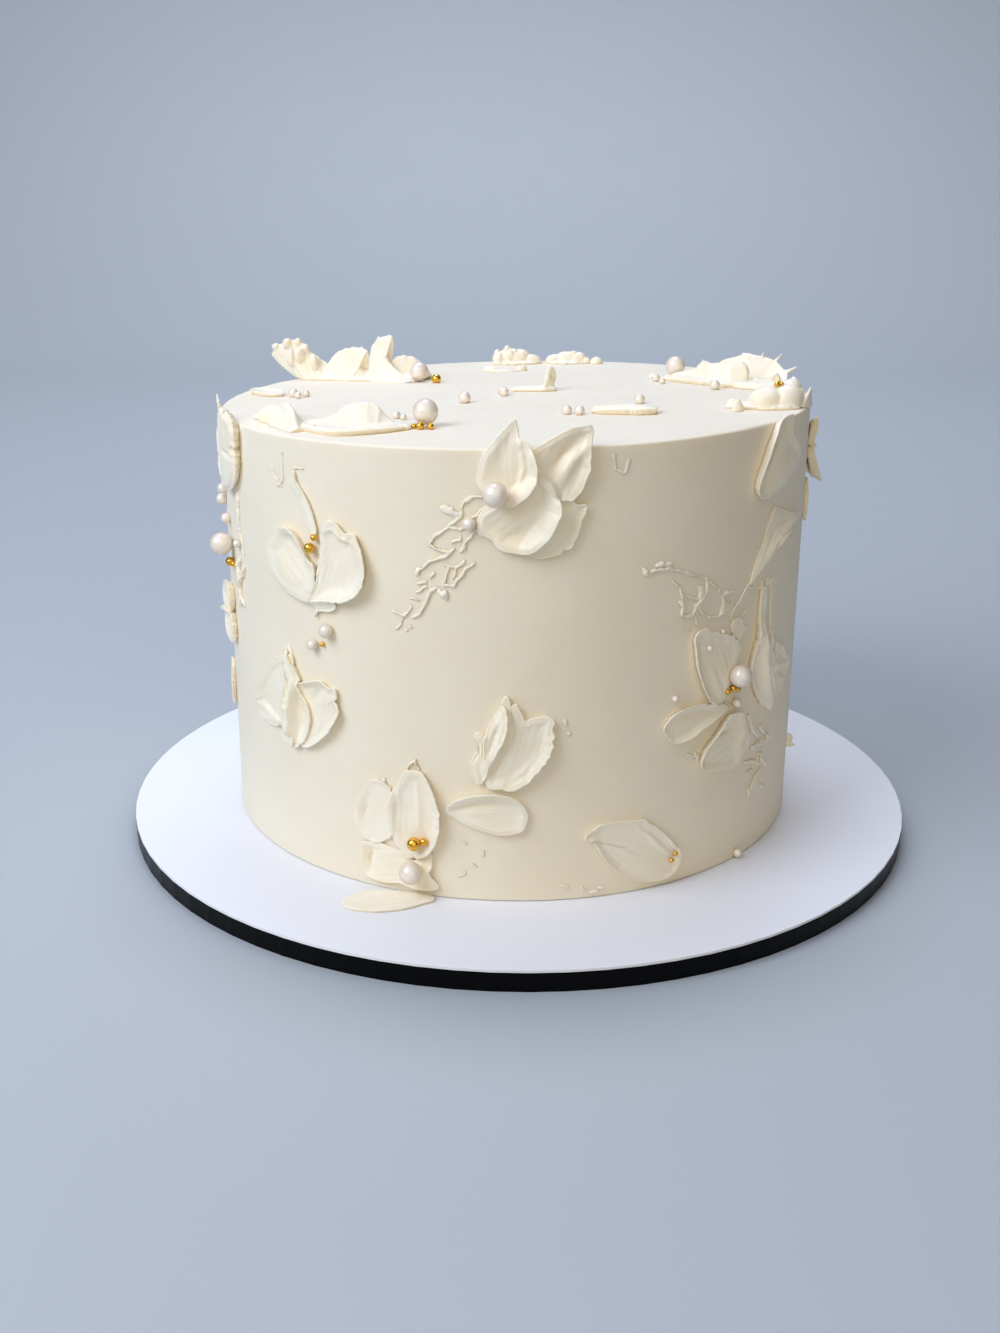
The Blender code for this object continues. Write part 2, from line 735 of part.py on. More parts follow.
BACK_FLOWER = (
    Stroke("back_petal_low", (wall_at(62.0), 88.0), (wall_at(51.0), 68.0), 9.0, (0.55, 0.4),
           (2.2, 0.6, 1.4, 0.8), 3.8, bow=2.0, pad=1.1),
    Stroke("back_petal_side", (wall_at(64.0), 92.0), (wall_at(78.0), 82.0), 8.2, (0.5, 0.45),
           (0.6, 1.8, 1.0, 0.6), 3.0, bow=-1.0, pad=1.1),
    Stroke("back_petal_high", (wall_at(62.5), 90.0), (wall_at(66.0), 119.0), 9.0, (0.6, 0.6),
           (2.4, 0.8, 0.6, 0.8), 4.0, pad=1.2, beads=((wall_at(63.0), 96.5, 2.1),)),
)
BACK_LEAVES = (
    Stroke("back_leaf_rim", (wall_at(118.0), 124.0), (wall_at(128.0), 147.0), 8.2, (0.5, 0.75),
           (0.6, 2.2, 0.4, 1.2), 3.5, bow=1.5, pad=1.1),
    Stroke("back_leaf_base", (wall_at(128.0), 30.0), (wall_at(110.0), 14.0), 8.6, (0.5, 0.42),
           (0.9, 1.1, 1.2, 0.6), 2.8, bow=1.0, pad=1.0),
)
BOARD_PETAL = (
    Stroke("base_petal_on_board", (-26.5, -98.5), (-55.0, -103.5), 7.2, (0.3, 0.6), (0.7, 0.2, 0.4, 0.5),
           2.0, pad=1.2),
)

# Top of the cake

RIBBON_MOUNDS = (
    Stroke("top_ribbon_cluster", (-76.5, 57.5), (-34.0, 46.0), 6.4, (0.3, 0.5), (0.0, 0.0, 0.0, 0.0),
           2.0, bow=1.5, pad=2.0, crown=1.2),
    Stroke("ribbon_lobe", (-44.0, 53.0), (-32.0, 51.0), 4.2, (0.4, 0.4), (0.0, 0.0, 0.0, 0.0),
           2.0, pad=2.2, crown=5.0),
    Stroke("ribbon_fold", (-71.0, 59.0), (-58.0, 54.0), 4.0, (0.4, 0.5), (0.0, 0.0, 0.0, 0.0),
           2.0, pad=3.0, crown=4.2),
)
RIBBON_CURLS = (
    Curl((-73.5, 56.0), 195.0, 14.5, 10.0, bend=42.0, sweep=-0.12, droop=0.15),
    Curl((-68.5, 56.5), 172.0, 14.8, 9.0, bend=32.0, sweep=-0.1, droop=0.2),
    Curl((-59.5, 51.0), -14.0, 12.2, 12.0, bend=108.0, sweep=0.28, droop=0.5),
    Curl((-48.8, 50.0), -14.0, 17.2, 12.5, bend=88.0, sweep=0.25, droop=0.5),
    Curl((-44.2, 45.5), -24.0, 10.8, 8.0, bend=98.0, sweep=0.3, droop=0.5),
)
FRONT_MOUNDS = (
    Stroke("top_front_cluster", (-79.0, -36.0), (-35.5, -61.5), 9.0, (0.4, 0.75), (0.0, 0.4, 0.0, 0.0),
           2.0, bow=-5.5, pad=1.8, crown=1.4),
    Stroke("front_lobe", (-60.5, -62.0), (-39.5, -58.5), 7.6, (0.4, 0.4), (0.0, 0.0, 0.0, 0.0),
           2.0, bow=-1.0, pad=2.2, crown=6.6),
    Stroke("front_hump", (-79.0, -40.0), (-66.0, -49.0), 5.8, (0.4, 0.4), (0.0, 0.0, 0.0, 0.0),
           2.0, pad=2.0, crown=4.2),
)
FRONT_CURLS = (
    Curl((-71.0, -53.5), -42.0, 10.2, 15.0, bend=48.0, sweep=0.34, droop=0.35),
)
RIGHT_MOUNDS = (
    Stroke("top_right_cluster", (57.5, 35.0), (84.0, 17.5), 6.6, (0.6, 0.3), (0.0, 0.0, 0.0, 0.0),
           2.0, pad=2.2, crown=4.6),
    Stroke("right_mound", (69.0, 43.0), (93.0, 12.0), 9.2, (0.45, 0.4), (0.0, 0.0, 0.0, 0.0),
           2.0, pad=2.6, crown=7.4),
    Stroke("right_strip", (78.0, 12.5), (91.0, 4.0), 3.8, (0.5, 0.5), (0.0, 0.0, 0.0, 0.0),
           2.0, pad=1.8, crown=0.6),
)
RIGHT_CURLS = (
    Curl((82.5, 17.0), 205.0, 8.2, 8.0, bend=20.0, sweep=0.1, droop=0.55),
)
RIGHT_SPIKES = (
    ((80.0, 36.0, 9.6), 4.2, (11.5, 17.2)),
    ((87.5, 28.0, 8.6), 5.0, (5.7, 28.6)),
    ((93.0, 14.0, 3.6), 5.2, (5.7, 22.9)),
)
BUD_MOUNDS = (
    Stroke("top_bud", (74.0, -40.0), (92.0, -30.5), 7.6, (0.35, 0.35), (0.0, 0.0, 0.0, 0.0),
           2.0, pad=2.0, crown=3.4),
)
BUD_CURLS = (
    Curl((79.5, -42.5), 42.0, 9.6, 10.0, bend=66.0, sweep=0.22, droop=0.4),
    Curl((88.0, -38.0), 128.0, 10.2, 10.5, bend=66.0, sweep=0.22, droop=0.4),
    Curl((86.5, -26.5), 238.0, 12.0, 11.0, bend=30.0, sweep=0.25, droop=0.5),
    Curl((77.5, -30.0), -32.0, 10.2, 9.5, bend=36.0, sweep=0.25, droop=0.5),
)
SMALL_TOP_STROKES = (
    Stroke("top_stroke_front", (23.5, -39.5), (44.5, -42.0), 4.2, (0.5, 0.22), (0.6, 0.8, 0.9, 0.2),
           2.0, pad=1.8, crown=1.0),
    Stroke("top_stroke_left", (-94.0, 25.0), (-82.5, 10.5), 4.0, (0.7, 0.5), (0.9, 0.9, 0.4, 0.6),
           1.8, bow=-1.5, pad=1.1),
    Stroke("top_stroke_rear_left", (14.0, 90.5), (-6.0, 91.0), 5.2, (0.7, 0.35), (0.4, 0.4, 0.6, 0.2),
           2.0, pad=2.0, crown=4.2),
    Stroke("top_stroke_rear_right", (30.5, 88.5), (14.5, 90.5), 4.4, (0.5, 0.5), (0.4, 0.4, 0.6, 0.2),
           2.0, pad=1.6, crown=2.6),
)
CENTRE_MOUNDS = (
    Stroke("top_curl_stroke", (-1.5, 14.0), (15.0, 13.0), 3.4, (0.5, 0.4), (0.3, 0.3, 0.3, 0.2),
           1.6, pad=1.3, crown=0.5),
)
CENTRE_CURLS = (
    Curl((11.0, 14.5), -38.0, 8.3, 5.6, bend=38.0, sweep=0.35, droop=0.6),
)

# Large pearls: name, surface, place on it, radius, and height of the underside above the surface
PEARLS = (
    ("pearl_front_flower", side_point, -7.5, 130.4, 3.65, 1.5),
    ("pearl_base_flower", side_point, -32.6, 9.6, 3.6, 1.6),
    ("pearl_right_flower", side_point, 73.5, 67.0, 3.6, 0.6),
    ("pearl_left_chain", side_point, -123.0, 98.9, 3.75, 0.35),
    ("pearl_top_ribbon", top_point, -35.0, 42.5, 3.5, 0.35),
    ("pearl_top_front", top_point, -29.0, -60.0, 4.0, 0.7),
    ("pearl_top_right", top_point, 60.5, 40.5, 3.6, 0.8),
)

# Small pearls and metallic beads fused to the cake: place and radius
WALL_BEADS = (
    (-15.2, 121.0, 2.0),
    (-67.5, 108.6, 1.7),
    (-66.0, 112.0, 1.1),
    (-62.3, 83.3, 2.2),
    (-68.4, 77.6, 1.8),
    (49.6, 63.5, 1.1),
    (74.2, 79.6, 1.0),
    (69.9, 84.4, 0.8),
    (76.0, 56.6, 1.6),
    (74.5, 61.0, 1.2),
    (-135.0, 112.3, 1.9),
    (-136.8, 108.3, 2.0),
    (-127.5, 105.3, 1.8),
    (-113.0, 101.0, 1.4),
    (-123.5, 92.4, 1.6),
    (81.6, 1.9, 1.5),
    (wall_at(20.0), 104.0, 1.9),
    (wall_at(56.5), 96.0, 1.5),
    (wall_at(112.0), 118.0, 1.9),
    (wall_at(108.5), 113.0, 1.4),
    (wall_at(150.0), 70.0, 1.9),
)
TOP_BEADS = (
    (-78.0, 9.0, 1.7),
    (-73.5, 9.5, 1.3),
    (-17.5, -12.0, 2.1),
    (-4.5, 6.0, 1.6),
    (15.6, -40.5, 1.7),
    (19.6, -42.0, 1.7),
    (41.0, -21.0, 1.8),
    (52.5, 32.5, 1.5),
    (54.0, 25.5, 1.2),
    (70.5, 8.5, 1.9),
    (-28.5, 38.5, 1.8),
    (-26.0, -65.0, 1.1),
)
WALL_DOLLOPS = (
    Dollop((-63.0, 89.2), 4.0, 1.6, 2.0, 12.0),
    Dollop((-20.0, 123.0), 4.0, 2.4, 1.5, 25.0),
    Dollop((-23.5, 100.0), 2.2, 1.8, 1.4, 40.0),
    Dollop((-96.5, 46.0), 4.5, 1.6, 1.3, -8.0),
    Dollop((-80.0, 72.8), 2.4, 0.9, 1.0, -60.0),
    Dollop((78.5, 82.0), 3.6, 1.9, 1.3, 80.0),
    Dollop((92.0, 35.0), 4.6, 1.8, 1.4, -30.0),
    Dollop((88.0, 27.0), 3.6, 1.5, 1.2, 50.0),
    Dollop((135.5, 24.5), 2.6, 2.0, 2.4, 0.0),
    Dollop((wall_at(14.0), 97.0), 4.5, 1.5, 1.4, 35.0),
    Dollop((wall_at(150.0), 76.0), 5.5, 2.6, 1.6, 60.0),
)
TOP_DOLLOPS = (
    Dollop((-3.0, 68.0), 6.0, 5.0, 0.9, 0.0),
    Dollop((34.5, 86.5), 2.6, 2.4, 2.4, 0.0),
    Dollop((70.5, -41.0), 2.2, 1.4, 3.4, 30.0),
)


def board_petal_cutters():
    """Swollen copies of what stands over the petal on the board."""
    petal_low, petal_small = BASE_FLOWER[:2]
    return [
        plain_cake("cutter_cake", CUT_CLEARANCE),
        stroke_object(petal_low, side_point, (), CUT_CLEARANCE),
        stroke_object(petal_small, side_point, (petal_low,), CUT_CLEARANCE),
    ]


def main():
    """Build every piece, the ones that others lie on first."""
    clear_scene()
    build_board()
    build_cake()
    build_pearls()
    build_flower(FRONT_FLOWER, side_point, ("pearl_front_flower",))
    build_flower(HEART_FLOWER, side_point)
    build_flower(TULIP_FLOWER, side_point)
    build_flower(BASE_FLOWER, side_point, ("pearl_base_flower",))
    build_flower(SHELL_FLOWER, side_point)
    build_flower(OVAL_PETAL, side_point)
    build_flower(TILTED_PETAL, side_point)
    build_flower(RIGHT_FLOWER, side_point, ("pearl_right_flower",))
    build_flower(WEDGE_STROKE, side_point)
    build_flower(RIM_PETAL, side_point)
    build_flower(LEFT_RIM_STROKES, side_point)
    build_flower(FAR_RIGHT_FLOWER, side_point)
    build_flower(BACK_FLOWER, side_point)
    build_flower(BACK_LEAVES, side_point)
    build_flower(BOARD_PETAL, board_point, (), board_petal_cutters)
    build_flower(SMALL_TOP_STROKES, top_point)
    build_cluster("top_ribbon_cluster", RIBBON_MOUNDS, RIBBON_CURLS, pearls=("pearl_top_ribbon",))
    build_cluster("top_front_cluster", FRONT_MOUNDS, FRONT_CURLS, pearls=("pearl_top_front",))
    build_cluster("top_right_cluster", RIGHT_MOUNDS, RIGHT_CURLS, RIGHT_SPIKES, ("pearl_top_right",))
    build_cluster("top_bud", BUD_MOUNDS, BUD_CURLS)
    build_cluster("top_curl_stroke", CENTRE_MOUNDS, CENTRE_CURLS)


main()
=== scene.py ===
"""Looks of a round buttercream cake with palette-knife flowers, on its round board.

Decorations are placed in millimetres on the surface that carries them: on the side wall as the
distance along the wall from the front centre line and the height above the board, and on the
flat top or the board as X and Y from the cake's own axis. Meshes are made in metres, +Z up.
"""

import json
import logging
from dataclasses import dataclass
from enum import Enum
from functools import cached_property
from math import cos, pi, radians, sin
from typing import Callable, Optional

import bpy
import numpy as np
from mathutils import Matrix, Vector

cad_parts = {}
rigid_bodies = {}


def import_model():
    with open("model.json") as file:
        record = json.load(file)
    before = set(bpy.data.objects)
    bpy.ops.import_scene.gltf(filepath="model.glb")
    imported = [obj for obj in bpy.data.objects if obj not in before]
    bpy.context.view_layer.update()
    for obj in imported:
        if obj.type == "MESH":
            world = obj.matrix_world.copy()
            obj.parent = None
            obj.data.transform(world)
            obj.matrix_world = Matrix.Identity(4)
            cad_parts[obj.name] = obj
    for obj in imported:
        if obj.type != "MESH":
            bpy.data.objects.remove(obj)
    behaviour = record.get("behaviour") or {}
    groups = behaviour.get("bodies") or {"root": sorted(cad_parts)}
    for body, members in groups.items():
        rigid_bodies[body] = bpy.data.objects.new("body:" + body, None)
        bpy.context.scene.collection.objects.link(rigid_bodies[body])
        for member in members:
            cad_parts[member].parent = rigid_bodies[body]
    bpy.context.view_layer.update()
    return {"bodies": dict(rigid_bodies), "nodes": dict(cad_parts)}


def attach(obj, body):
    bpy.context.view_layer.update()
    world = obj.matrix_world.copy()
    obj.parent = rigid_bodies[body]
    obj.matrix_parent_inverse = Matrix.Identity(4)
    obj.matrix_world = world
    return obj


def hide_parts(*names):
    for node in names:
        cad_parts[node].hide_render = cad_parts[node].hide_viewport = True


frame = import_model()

LOG = logging.getLogger("cake")
MM = 0.001
MERGE = 1e-6

# Sizes that the solids use too, in millimetres: the cake stands a little off the board's middle,
# and its top rises a little to the right
BOARD_TOP = 7.0
GAP = 0.3
CAKE_RADIUS = 100.5
CAKE_X = -2.2
CAKE_Y = 2.7
CAKE_HEIGHT = 142.4
TOP_RISE = 0.022

# How much deeper than its line in the photograph a rim, a crease, a torn edge or a thread is made,
# so that it shades as strongly as there
RIM_GAIN = 1.3
CREASE_GAIN = 1.35
RAGGED_GAIN = 1.5
LACE_GAIN = 1.18

# Distance between the points of a stroke's fine outline, in millimetres
EDGE_STEP = 0.22
# How far red, green and blue light travel in cream, as shares of the scatter's scale
CREAM_SCATTER = (1.0, 0.78, 0.5)


def linear(code: str) -> tuple[float, float, float, float]:
    """Turn an sRGB hex colour into linear red, green, blue and alpha.

    Args:
        code: Six hex digits after a hash sign.

    Returns:
        Four numbers from 0 to 1, the last one 1.
    """
    channels = [int(code[place:place + 2], 16) / 255.0 for place in (1, 3, 5)]
    levels = [c / 12.92 if c <= 0.04045 else ((c + 0.055) / 1.055) ** 2.4 for c in channels]
    return (*levels, 1.0)


def smooth(low: float, high: float, value: np.ndarray) -> np.ndarray:
    """Rise gently from 0 at low to 1 at high."""
    t = np.clip((np.asarray(value, dtype=float) - low) / (high - low), 0.0, 1.0)
    return t * t * (3.0 - 2.0 * t)


def lattice(column: np.ndarray, row: np.ndarray, seed: int) -> np.ndarray:
    """Give each cell of a lattice its own even random level from -1 to 1."""
    mixed = column * 374761393 + row * 668265263 + seed * 2246822519
    mixed = (mixed ^ (mixed >> 13)) * 1274126177
    mixed = (mixed ^ (mixed >> 16)) & 0xFFFF
    return mixed / 32767.5 - 1.0


def grain(x: np.ndarray, y: np.ndarray, seed: int) -> np.ndarray:
    """Smooth uneven relief over a plane, one swell to each unit.

    Args:
        x: First coordinate of each place.
        y: Second coordinate of each place.
        seed: Which pattern.

    Returns:
        A level from -1 to 1 at each place.
    """
    column = np.floor(x).astype(np.int64)
    row = np.floor(y).astype(np.int64)
    across = smooth(0.0, 1.0, x - column)
    along = smooth(0.0, 1.0, y - row)
    low = lattice(column, row, seed) * (1 - across) + lattice(column + 1, row, seed) * across
    high = lattice(column, row + 1, seed) * (1 - across) + lattice(column + 1, row + 1, seed) * across
    return low * (1 - along) + high * along


class Surface(Enum):
    """What carries a decoration."""

    SIDE = "side wall"
    TOP = "flat top"
    BOARD = "board"

    def points(self, u: np.ndarray, v: np.ndarray, height: np.ndarray) -> np.ndarray:
        """Places in the part's frame.

        Args:
            u: First distance on the surface in mm.
            v: Second distance on the surface in mm.
            height: Distance out of the surface in mm.

        Returns:
            One row of X, Y and Z in metres for each place.
        """
        u, v, height = np.broadcast_arrays(u, v, height)
        if self is Surface.SIDE:
            angle = -pi / 2 + u / CAKE_RADIUS
            radius = CAKE_RADIUS + height
            spots = (CAKE_X + radius * np.cos(angle), CAKE_Y + radius * np.sin(angle), BOARD_TOP + v)
        elif self is Surface.TOP:
            level = BOARD_TOP + GAP + CAKE_HEIGHT + TOP_RISE * u + height
            spots = (CAKE_X + u, CAKE_Y + v, level)
        else:
            spots = (CAKE_X + u, CAKE_Y + v, BOARD_TOP + height)
        return np.stack(spots, axis=-1) * MM

    def frame_at(self, u: float, v: float) -> Matrix:
        """Matrix whose X and Y run along the surface and whose Z points out of it."""
        origin = Vector(self.points(u, v, 0.0))
        first = (Vector(self.points(u + 1.0, v, 0.0)) - origin).normalized()
        out = (Vector(self.points(u, v, 1.0)) - origin).normalized()
        turn = Matrix((first, out.cross(first), out)).transposed()
        return Matrix.Translation(origin) @ turn.to_4x4()


def wall_at(bearing: float) -> float:
    """Distance along the wall of a bearing, where 270 is the front and 0 the right."""
    return radians((bearing - 270.0) % 360.0) * CAKE_RADIUS


# Shader building

def add_node(
    tree: bpy.types.NodeTree,
    kind: str,
    settings: Optional[dict] = None,
    links: Optional[dict] = None,
) -> bpy.types.Node:
    """Add one shader node.

    Args:
        tree: Node tree that takes it.
        kind: Blender's name of the node type.
        settings: Values by input name or number, or by the node's own property.
        links: Output sockets by the input name or number that they feed.

    Returns:
        The new node.
    """
    node = tree.nodes.new(kind)
    for key, value in (settings or {}).items():
        if isinstance(key, int) or key in node.inputs:
            node.inputs[key].default_value = value
        else:
            setattr(node, key, value)
    for key, socket in (links or {}).items():
        tree.links.new(socket, node.inputs[key])
    return node


@dataclass(frozen=True)
class Finish:
    """A surface as a maker names it, with its Principled values."""

    name: str
    colour: str
    roughness: float
    ior: float = 1.46
    metallic: float = 0.0
    coat: float = 0.0
    coat_roughness: float = 0.1
    scatter: float = 0.0
    scatter_mm: float = 0.0
    gloss: float = 0.5

    def start(self) -> tuple[bpy.types.Material, bpy.types.NodeTree, bpy.types.Node, bpy.types.NodeSocket]:
        """Make the material and set its constant values.

        Returns:
            The material, its tree, its shader and the object coordinates.
        """
        material = bpy.data.materials.new(self.name)
        material.use_nodes = True
        tree = material.node_tree
        shader = tree.nodes["Principled BSDF"]
        constants = {
            "Base Color": linear(self.colour),
            "Roughness": self.roughness,
            "Metallic": self.metallic,
            "Specular IOR Level": self.gloss,
            "Coat Weight": self.coat,
            "Coat Roughness": self.coat_roughness,
            "Subsurface Weight": self.scatter,
            "Subsurface Radius": CREAM_SCATTER,
            "Subsurface Scale": self.scatter_mm * MM,
        }
        if not self.metallic:
            constants["IOR"] = self.ior
        for name, value in constants.items():
            shader.inputs[name].default_value = value
        place = add_node(tree, "ShaderNodeTexCoord").outputs["Object"]
        return material, tree, shader, place

    def press(
        self,
        tree: bpy.types.NodeTree,
        place: bpy.types.NodeSocket,
        per_mm: float,
        depth_mm: float,
        strength: float = 1.0,
        detail: float = 2.0,
    ) -> tuple[bpy.types.NodeSocket, bpy.types.NodeSocket]:
        """Press a grain of one size into the surface.

        Args:
            tree: The material's tree.
            place: Object coordinates.
            per_mm: Swells of the grain in a millimetre.
            depth_mm: Depth of the grain.
            strength: How much of it shows.
            detail: How broken each swell is.

        Returns:
            The pressed surface's normal, and the grain's level for what else follows it.
        """
        settings = {"Scale": per_mm / MM, "Detail": detail}
        level = add_node(tree, "ShaderNodeTexNoise", settings, {"Vector": place}).outputs["Fac"]
        settings = {"Strength": strength, "Distance": depth_mm * MM}
        bump = add_node(tree, "ShaderNodeBump", settings, {"Height": level})
        return bump.outputs["Normal"], level

    def vary_roughness(
        self, tree: bpy.types.NodeTree, level: bpy.types.NodeSocket, less: float, more: float
    ) -> None:
        """Let the roughness follow a level, from a little less to a little more than its own."""
        settings = {"To Min": self.roughness - less, "To Max": self.roughness + more}
        varied = add_node(tree, "ShaderNodeMapRange", settings, {"Value": level})
        tree.links.new(varied.outputs["Result"], tree.nodes["Principled BSDF"].inputs["Roughness"])


@dataclass(frozen=True)
class Buttercream(Finish):
    """Whipped butter and sugar: satin, a little see-through, with fine air pits."""

    second_colour: str = "#EFE6D2"
    blotch_mm: float = 14.0
    grain_mm: float = 0.55
    grain_depth_mm: float = 0.03
    pit_mm: float = 2.6
    pit_depth_mm: float = 0.05
    # Painted shade: how far from the cake the golden crevice shade reaches, its colour and its strength
    crevice_shade_mm: float = 0.0
    crevice_shade_colour: str = "#DCBC86"
    crevice_shade_depth: float = 0.8

    def build(self) -> bpy.types.Material:
        """Blotches of a second cream, a fine sugar grain and scattered air pits."""
        material, tree, shader, place = self.start()
        settings = {"Scale": 1.0 / (self.blotch_mm * MM), "Detail": 3.0}
        blotch = add_node(tree, "ShaderNodeTexNoise", settings, {"Vector": place}).outputs["Fac"]
        spread = add_node(tree, "ShaderNodeMapRange", {"From Min": 0.35, "From Max": 0.7}, {"Value": blotch})
        settings = {"data_type": "RGBA", 6: linear(self.colour), 7: linear(self.second_colour)}
        cream = add_node(tree, "ShaderNodeMix", settings, {0: spread.outputs["Result"]}).outputs[2]
        # Painted shade: the crevice where the cream meets the cake is darkened golden in the colour
        if self.crevice_shade_mm:
            cream = self.paint_crevice_shade(tree, place, cream)
        tree.links.new(cream, shader.inputs["Base Color"])
        normal, _ = self.press(tree, place, 1.0 / self.grain_mm, self.grain_depth_mm)
        settings = {"Scale": 1.0 / (self.pit_mm * MM)}
        cells = add_node(tree, "ShaderNodeTexVoronoi", settings, {"Vector": place})
        settings = {"From Min": 0.03, "From Max": 0.12}
        pit = add_node(tree, "ShaderNodeMapRange", settings, {"Value": cells.outputs["Distance"]})
        pitted = add_node(
            tree,
            "ShaderNodeBump",
            {"Strength": 0.6, "Distance": self.pit_depth_mm * MM},
            {"Height": pit.outputs["Result"], "Normal": normal},
        )
        tree.links.new(pitted.outputs["Normal"], shader.inputs["Normal"])
        self.vary_roughness(tree, blotch, 0.06, 0.08)
        return material

    def paint_crevice_shade(
        self, tree: bpy.types.NodeTree, place: bpy.types.NodeSocket, cream: bpy.types.NodeSocket
    ) -> bpy.types.NodeSocket:
        """Paint golden shade into the cream where it meets the cake, standing in for the shade and warm
        bounce light in its crevice.

        Args:
            tree: The material's tree.
            place: Object coordinates.
            cream: Colour away from the cake.

        Returns:
            The colour with its painted crevice shade.
        """
        axis = (CAKE_X * MM, CAKE_Y * MM, 0.0)
        upright = (-TOP_RISE, 0.0, 1.0)
        top = (BOARD_TOP + GAP + CAKE_HEIGHT) * MM
        settings = {"operation": "SUBTRACT", 1: axis}
        centred = add_node(tree, "ShaderNodeVectorMath", settings, {0: place}).outputs["Vector"]
        settings = {"operation": "MULTIPLY", 1: (1.0, 1.0, 0.0)}
        across = add_node(tree, "ShaderNodeVectorMath", settings, {0: centred}).outputs["Vector"]
        settings = {"operation": "LENGTH"}
        radius = add_node(tree, "ShaderNodeVectorMath", settings, {0: across}).outputs["Value"]
        settings = {"operation": "DOT_PRODUCT", 1: upright}
        level = add_node(tree, "ShaderNodeVectorMath", settings, {0: centred}).outputs["Value"]
        settings = {"operation": "SUBTRACT", 1: CAKE_RADIUS * MM}
        off_wall = add_node(tree, "ShaderNodeMath", settings, {0: radius}).outputs["Value"]
        settings = {"operation": "SUBTRACT", 1: top}
        off_top = add_node(tree, "ShaderNodeMath", settings, {0: level}).outputs["Value"]
        off = add_node(tree, "ShaderNodeMath", {"operation": "MAXIMUM"}, {0: off_wall, 1: off_top})
        # Painted shade: strongest at the cake's surface, gone a fraction of a millimetre out
        settings = {"From Min": 0.0, "From Max": self.crevice_shade_mm * MM, "To Min": self.crevice_shade_depth, "To Max": 0.0}
        foot = add_node(tree, "ShaderNodeMapRange", settings, {"Value": off.outputs["Value"]})
        settings = {"data_type": "RGBA", 7: linear(self.crevice_shade_colour)}
        return add_node(tree, "ShaderNodeMix", settings, {0: foot.outputs["Result"], 6: cream}).outputs[2]


@dataclass(frozen=True)
class SugarPearl(Finish):
    """Hard sugar ball rolled in pearl dust: a soft glow, warmer towards its outline as seen, partly its own
    tint and partly painted reflection of the cream around it.
    """

    rim_tint_and_reflection: str = "#D8BDA4"
    dust_per_mm: float = 0.9
    dust_depth_mm: float = 0.06

    def build(self) -> bpy.types.Material:
        """Pearl dust that changes tint with the angle, partly painted reflection, over a slightly uneven
        ball.
        """
        material, tree, shader, place = self.start()
        # Partly painted reflection: towards the outline as seen, the colour turns to the warm rim tint of
        # the cream around
        turn = add_node(tree, "ShaderNodeLayerWeight", {"Blend": 0.35})
        settings = {"data_type": "RGBA", 6: linear(self.colour), 7: linear(self.rim_tint_and_reflection)}
        colour = add_node(tree, "ShaderNodeMix", settings, {0: turn.outputs["Facing"]})
        tree.links.new(colour.outputs[2], shader.inputs["Base Color"])
        normal, _ = self.press(tree, place, self.dust_per_mm, self.dust_depth_mm, 0.5)
        tree.links.new(normal, shader.inputs["Normal"])
        return material


@dataclass(frozen=True)
class GoldCoat(Finish):
    """Metallic coat on a hard sugar bead: bright, with the dents of the sugar below."""

    dents_per_mm: float = 1.1
    dent_depth_mm: float = 0.1

    def build(self) -> bpy.types.Material:
        """Polished coat over small dents, rubbed a little duller in places."""
        material, tree, shader, place = self.start()
        normal, dents = self.press(tree, place, self.dents_per_mm, self.dent_depth_mm, 0.6)
        tree.links.new(normal, shader.inputs["Normal"])
        self.vary_roughness(tree, dents, 0.05, 0.12)
        return material


@dataclass(frozen=True)
class Laminate(Finish):
    """Smooth paper laminate on board, with a faint press grain."""

    grain_mm: float = 1.4
    grain_depth_mm: float = 0.02
    patches_per_mm: float = 0.028

    def build(self) -> bpy.types.Material:
        """Faint press grain and patches where the film is a little glossier."""
        material, tree, shader, place = self.start()
        normal, _ = self.press(tree, place, 1.0 / self.grain_mm, self.grain_depth_mm, detail=3.0)
        tree.links.new(normal, shader.inputs["Normal"])
        settings = {"Scale": self.patches_per_mm / MM, "Detail": 2.0}
        patches = add_node(tree, "ShaderNodeTexNoise", settings, {"Vector": place}).outputs["Fac"]
        self.vary_roughness(tree, patches, 0.07, 0.07)
        return material


# Scraped smooth with a steel edge: even and satin, its shade warm because light sinks in
WALL_CREAM = Buttercream(
    "scraped_buttercream", "#F3E9D5", 0.62, scatter=0.4, scatter_mm=1.6, gloss=0.2,
    second_colour="#F0E5CF", blotch_mm=30.0, grain_depth_mm=0.02,
)
# Pulled with a palette knife: the wall's cream painted lighter, standing in for the brighter light the
# petals catch; softly glossy; painted golden shade in the crevice at its foot
PETAL_CREAM = Buttercream(
    "knife_pulled_buttercream", "#FCF2E0", 0.38, scatter=0.3, scatter_mm=0.8, gloss=0.45,
    second_colour="#F8EBD3", grain_depth_mm=0.02, crevice_shade_mm=0.4,
)
# Pearl dust on hard sugar: a soft sheen with a warmer rim, partly its own tint and partly painted reflection
# of the cream
PEARL_DUST = SugarPearl(
    "pearl_dusted_sugar", "#F8EFE4", 0.28, metallic=0.1, coat=0.3, scatter=0.25, scatter_mm=1.2
)
# Metallic coat on hard sugar: mirrors the lights, a little broken by its dents
GOLD = GoldCoat("gold_coated_sugar", "#EDB94E", 0.2, metallic=1.0)
# White film on the board's face: satin, a little cool beside the cream
FACE_FILM = Laminate("white_board_laminate", "#EEEFF4", 0.38, ior=1.5)
# Black film round the board's edge and under it: deep, with next to no shine
CORE_FILM = Laminate("black_board_laminate", "#020203", 0.3, ior=1.2)
# Painted table: flat and pale
TABLE_PAINT = Laminate("pale_table_paint", "#B0B6BB", 0.6, ior=1.45, grain_mm=4.0)


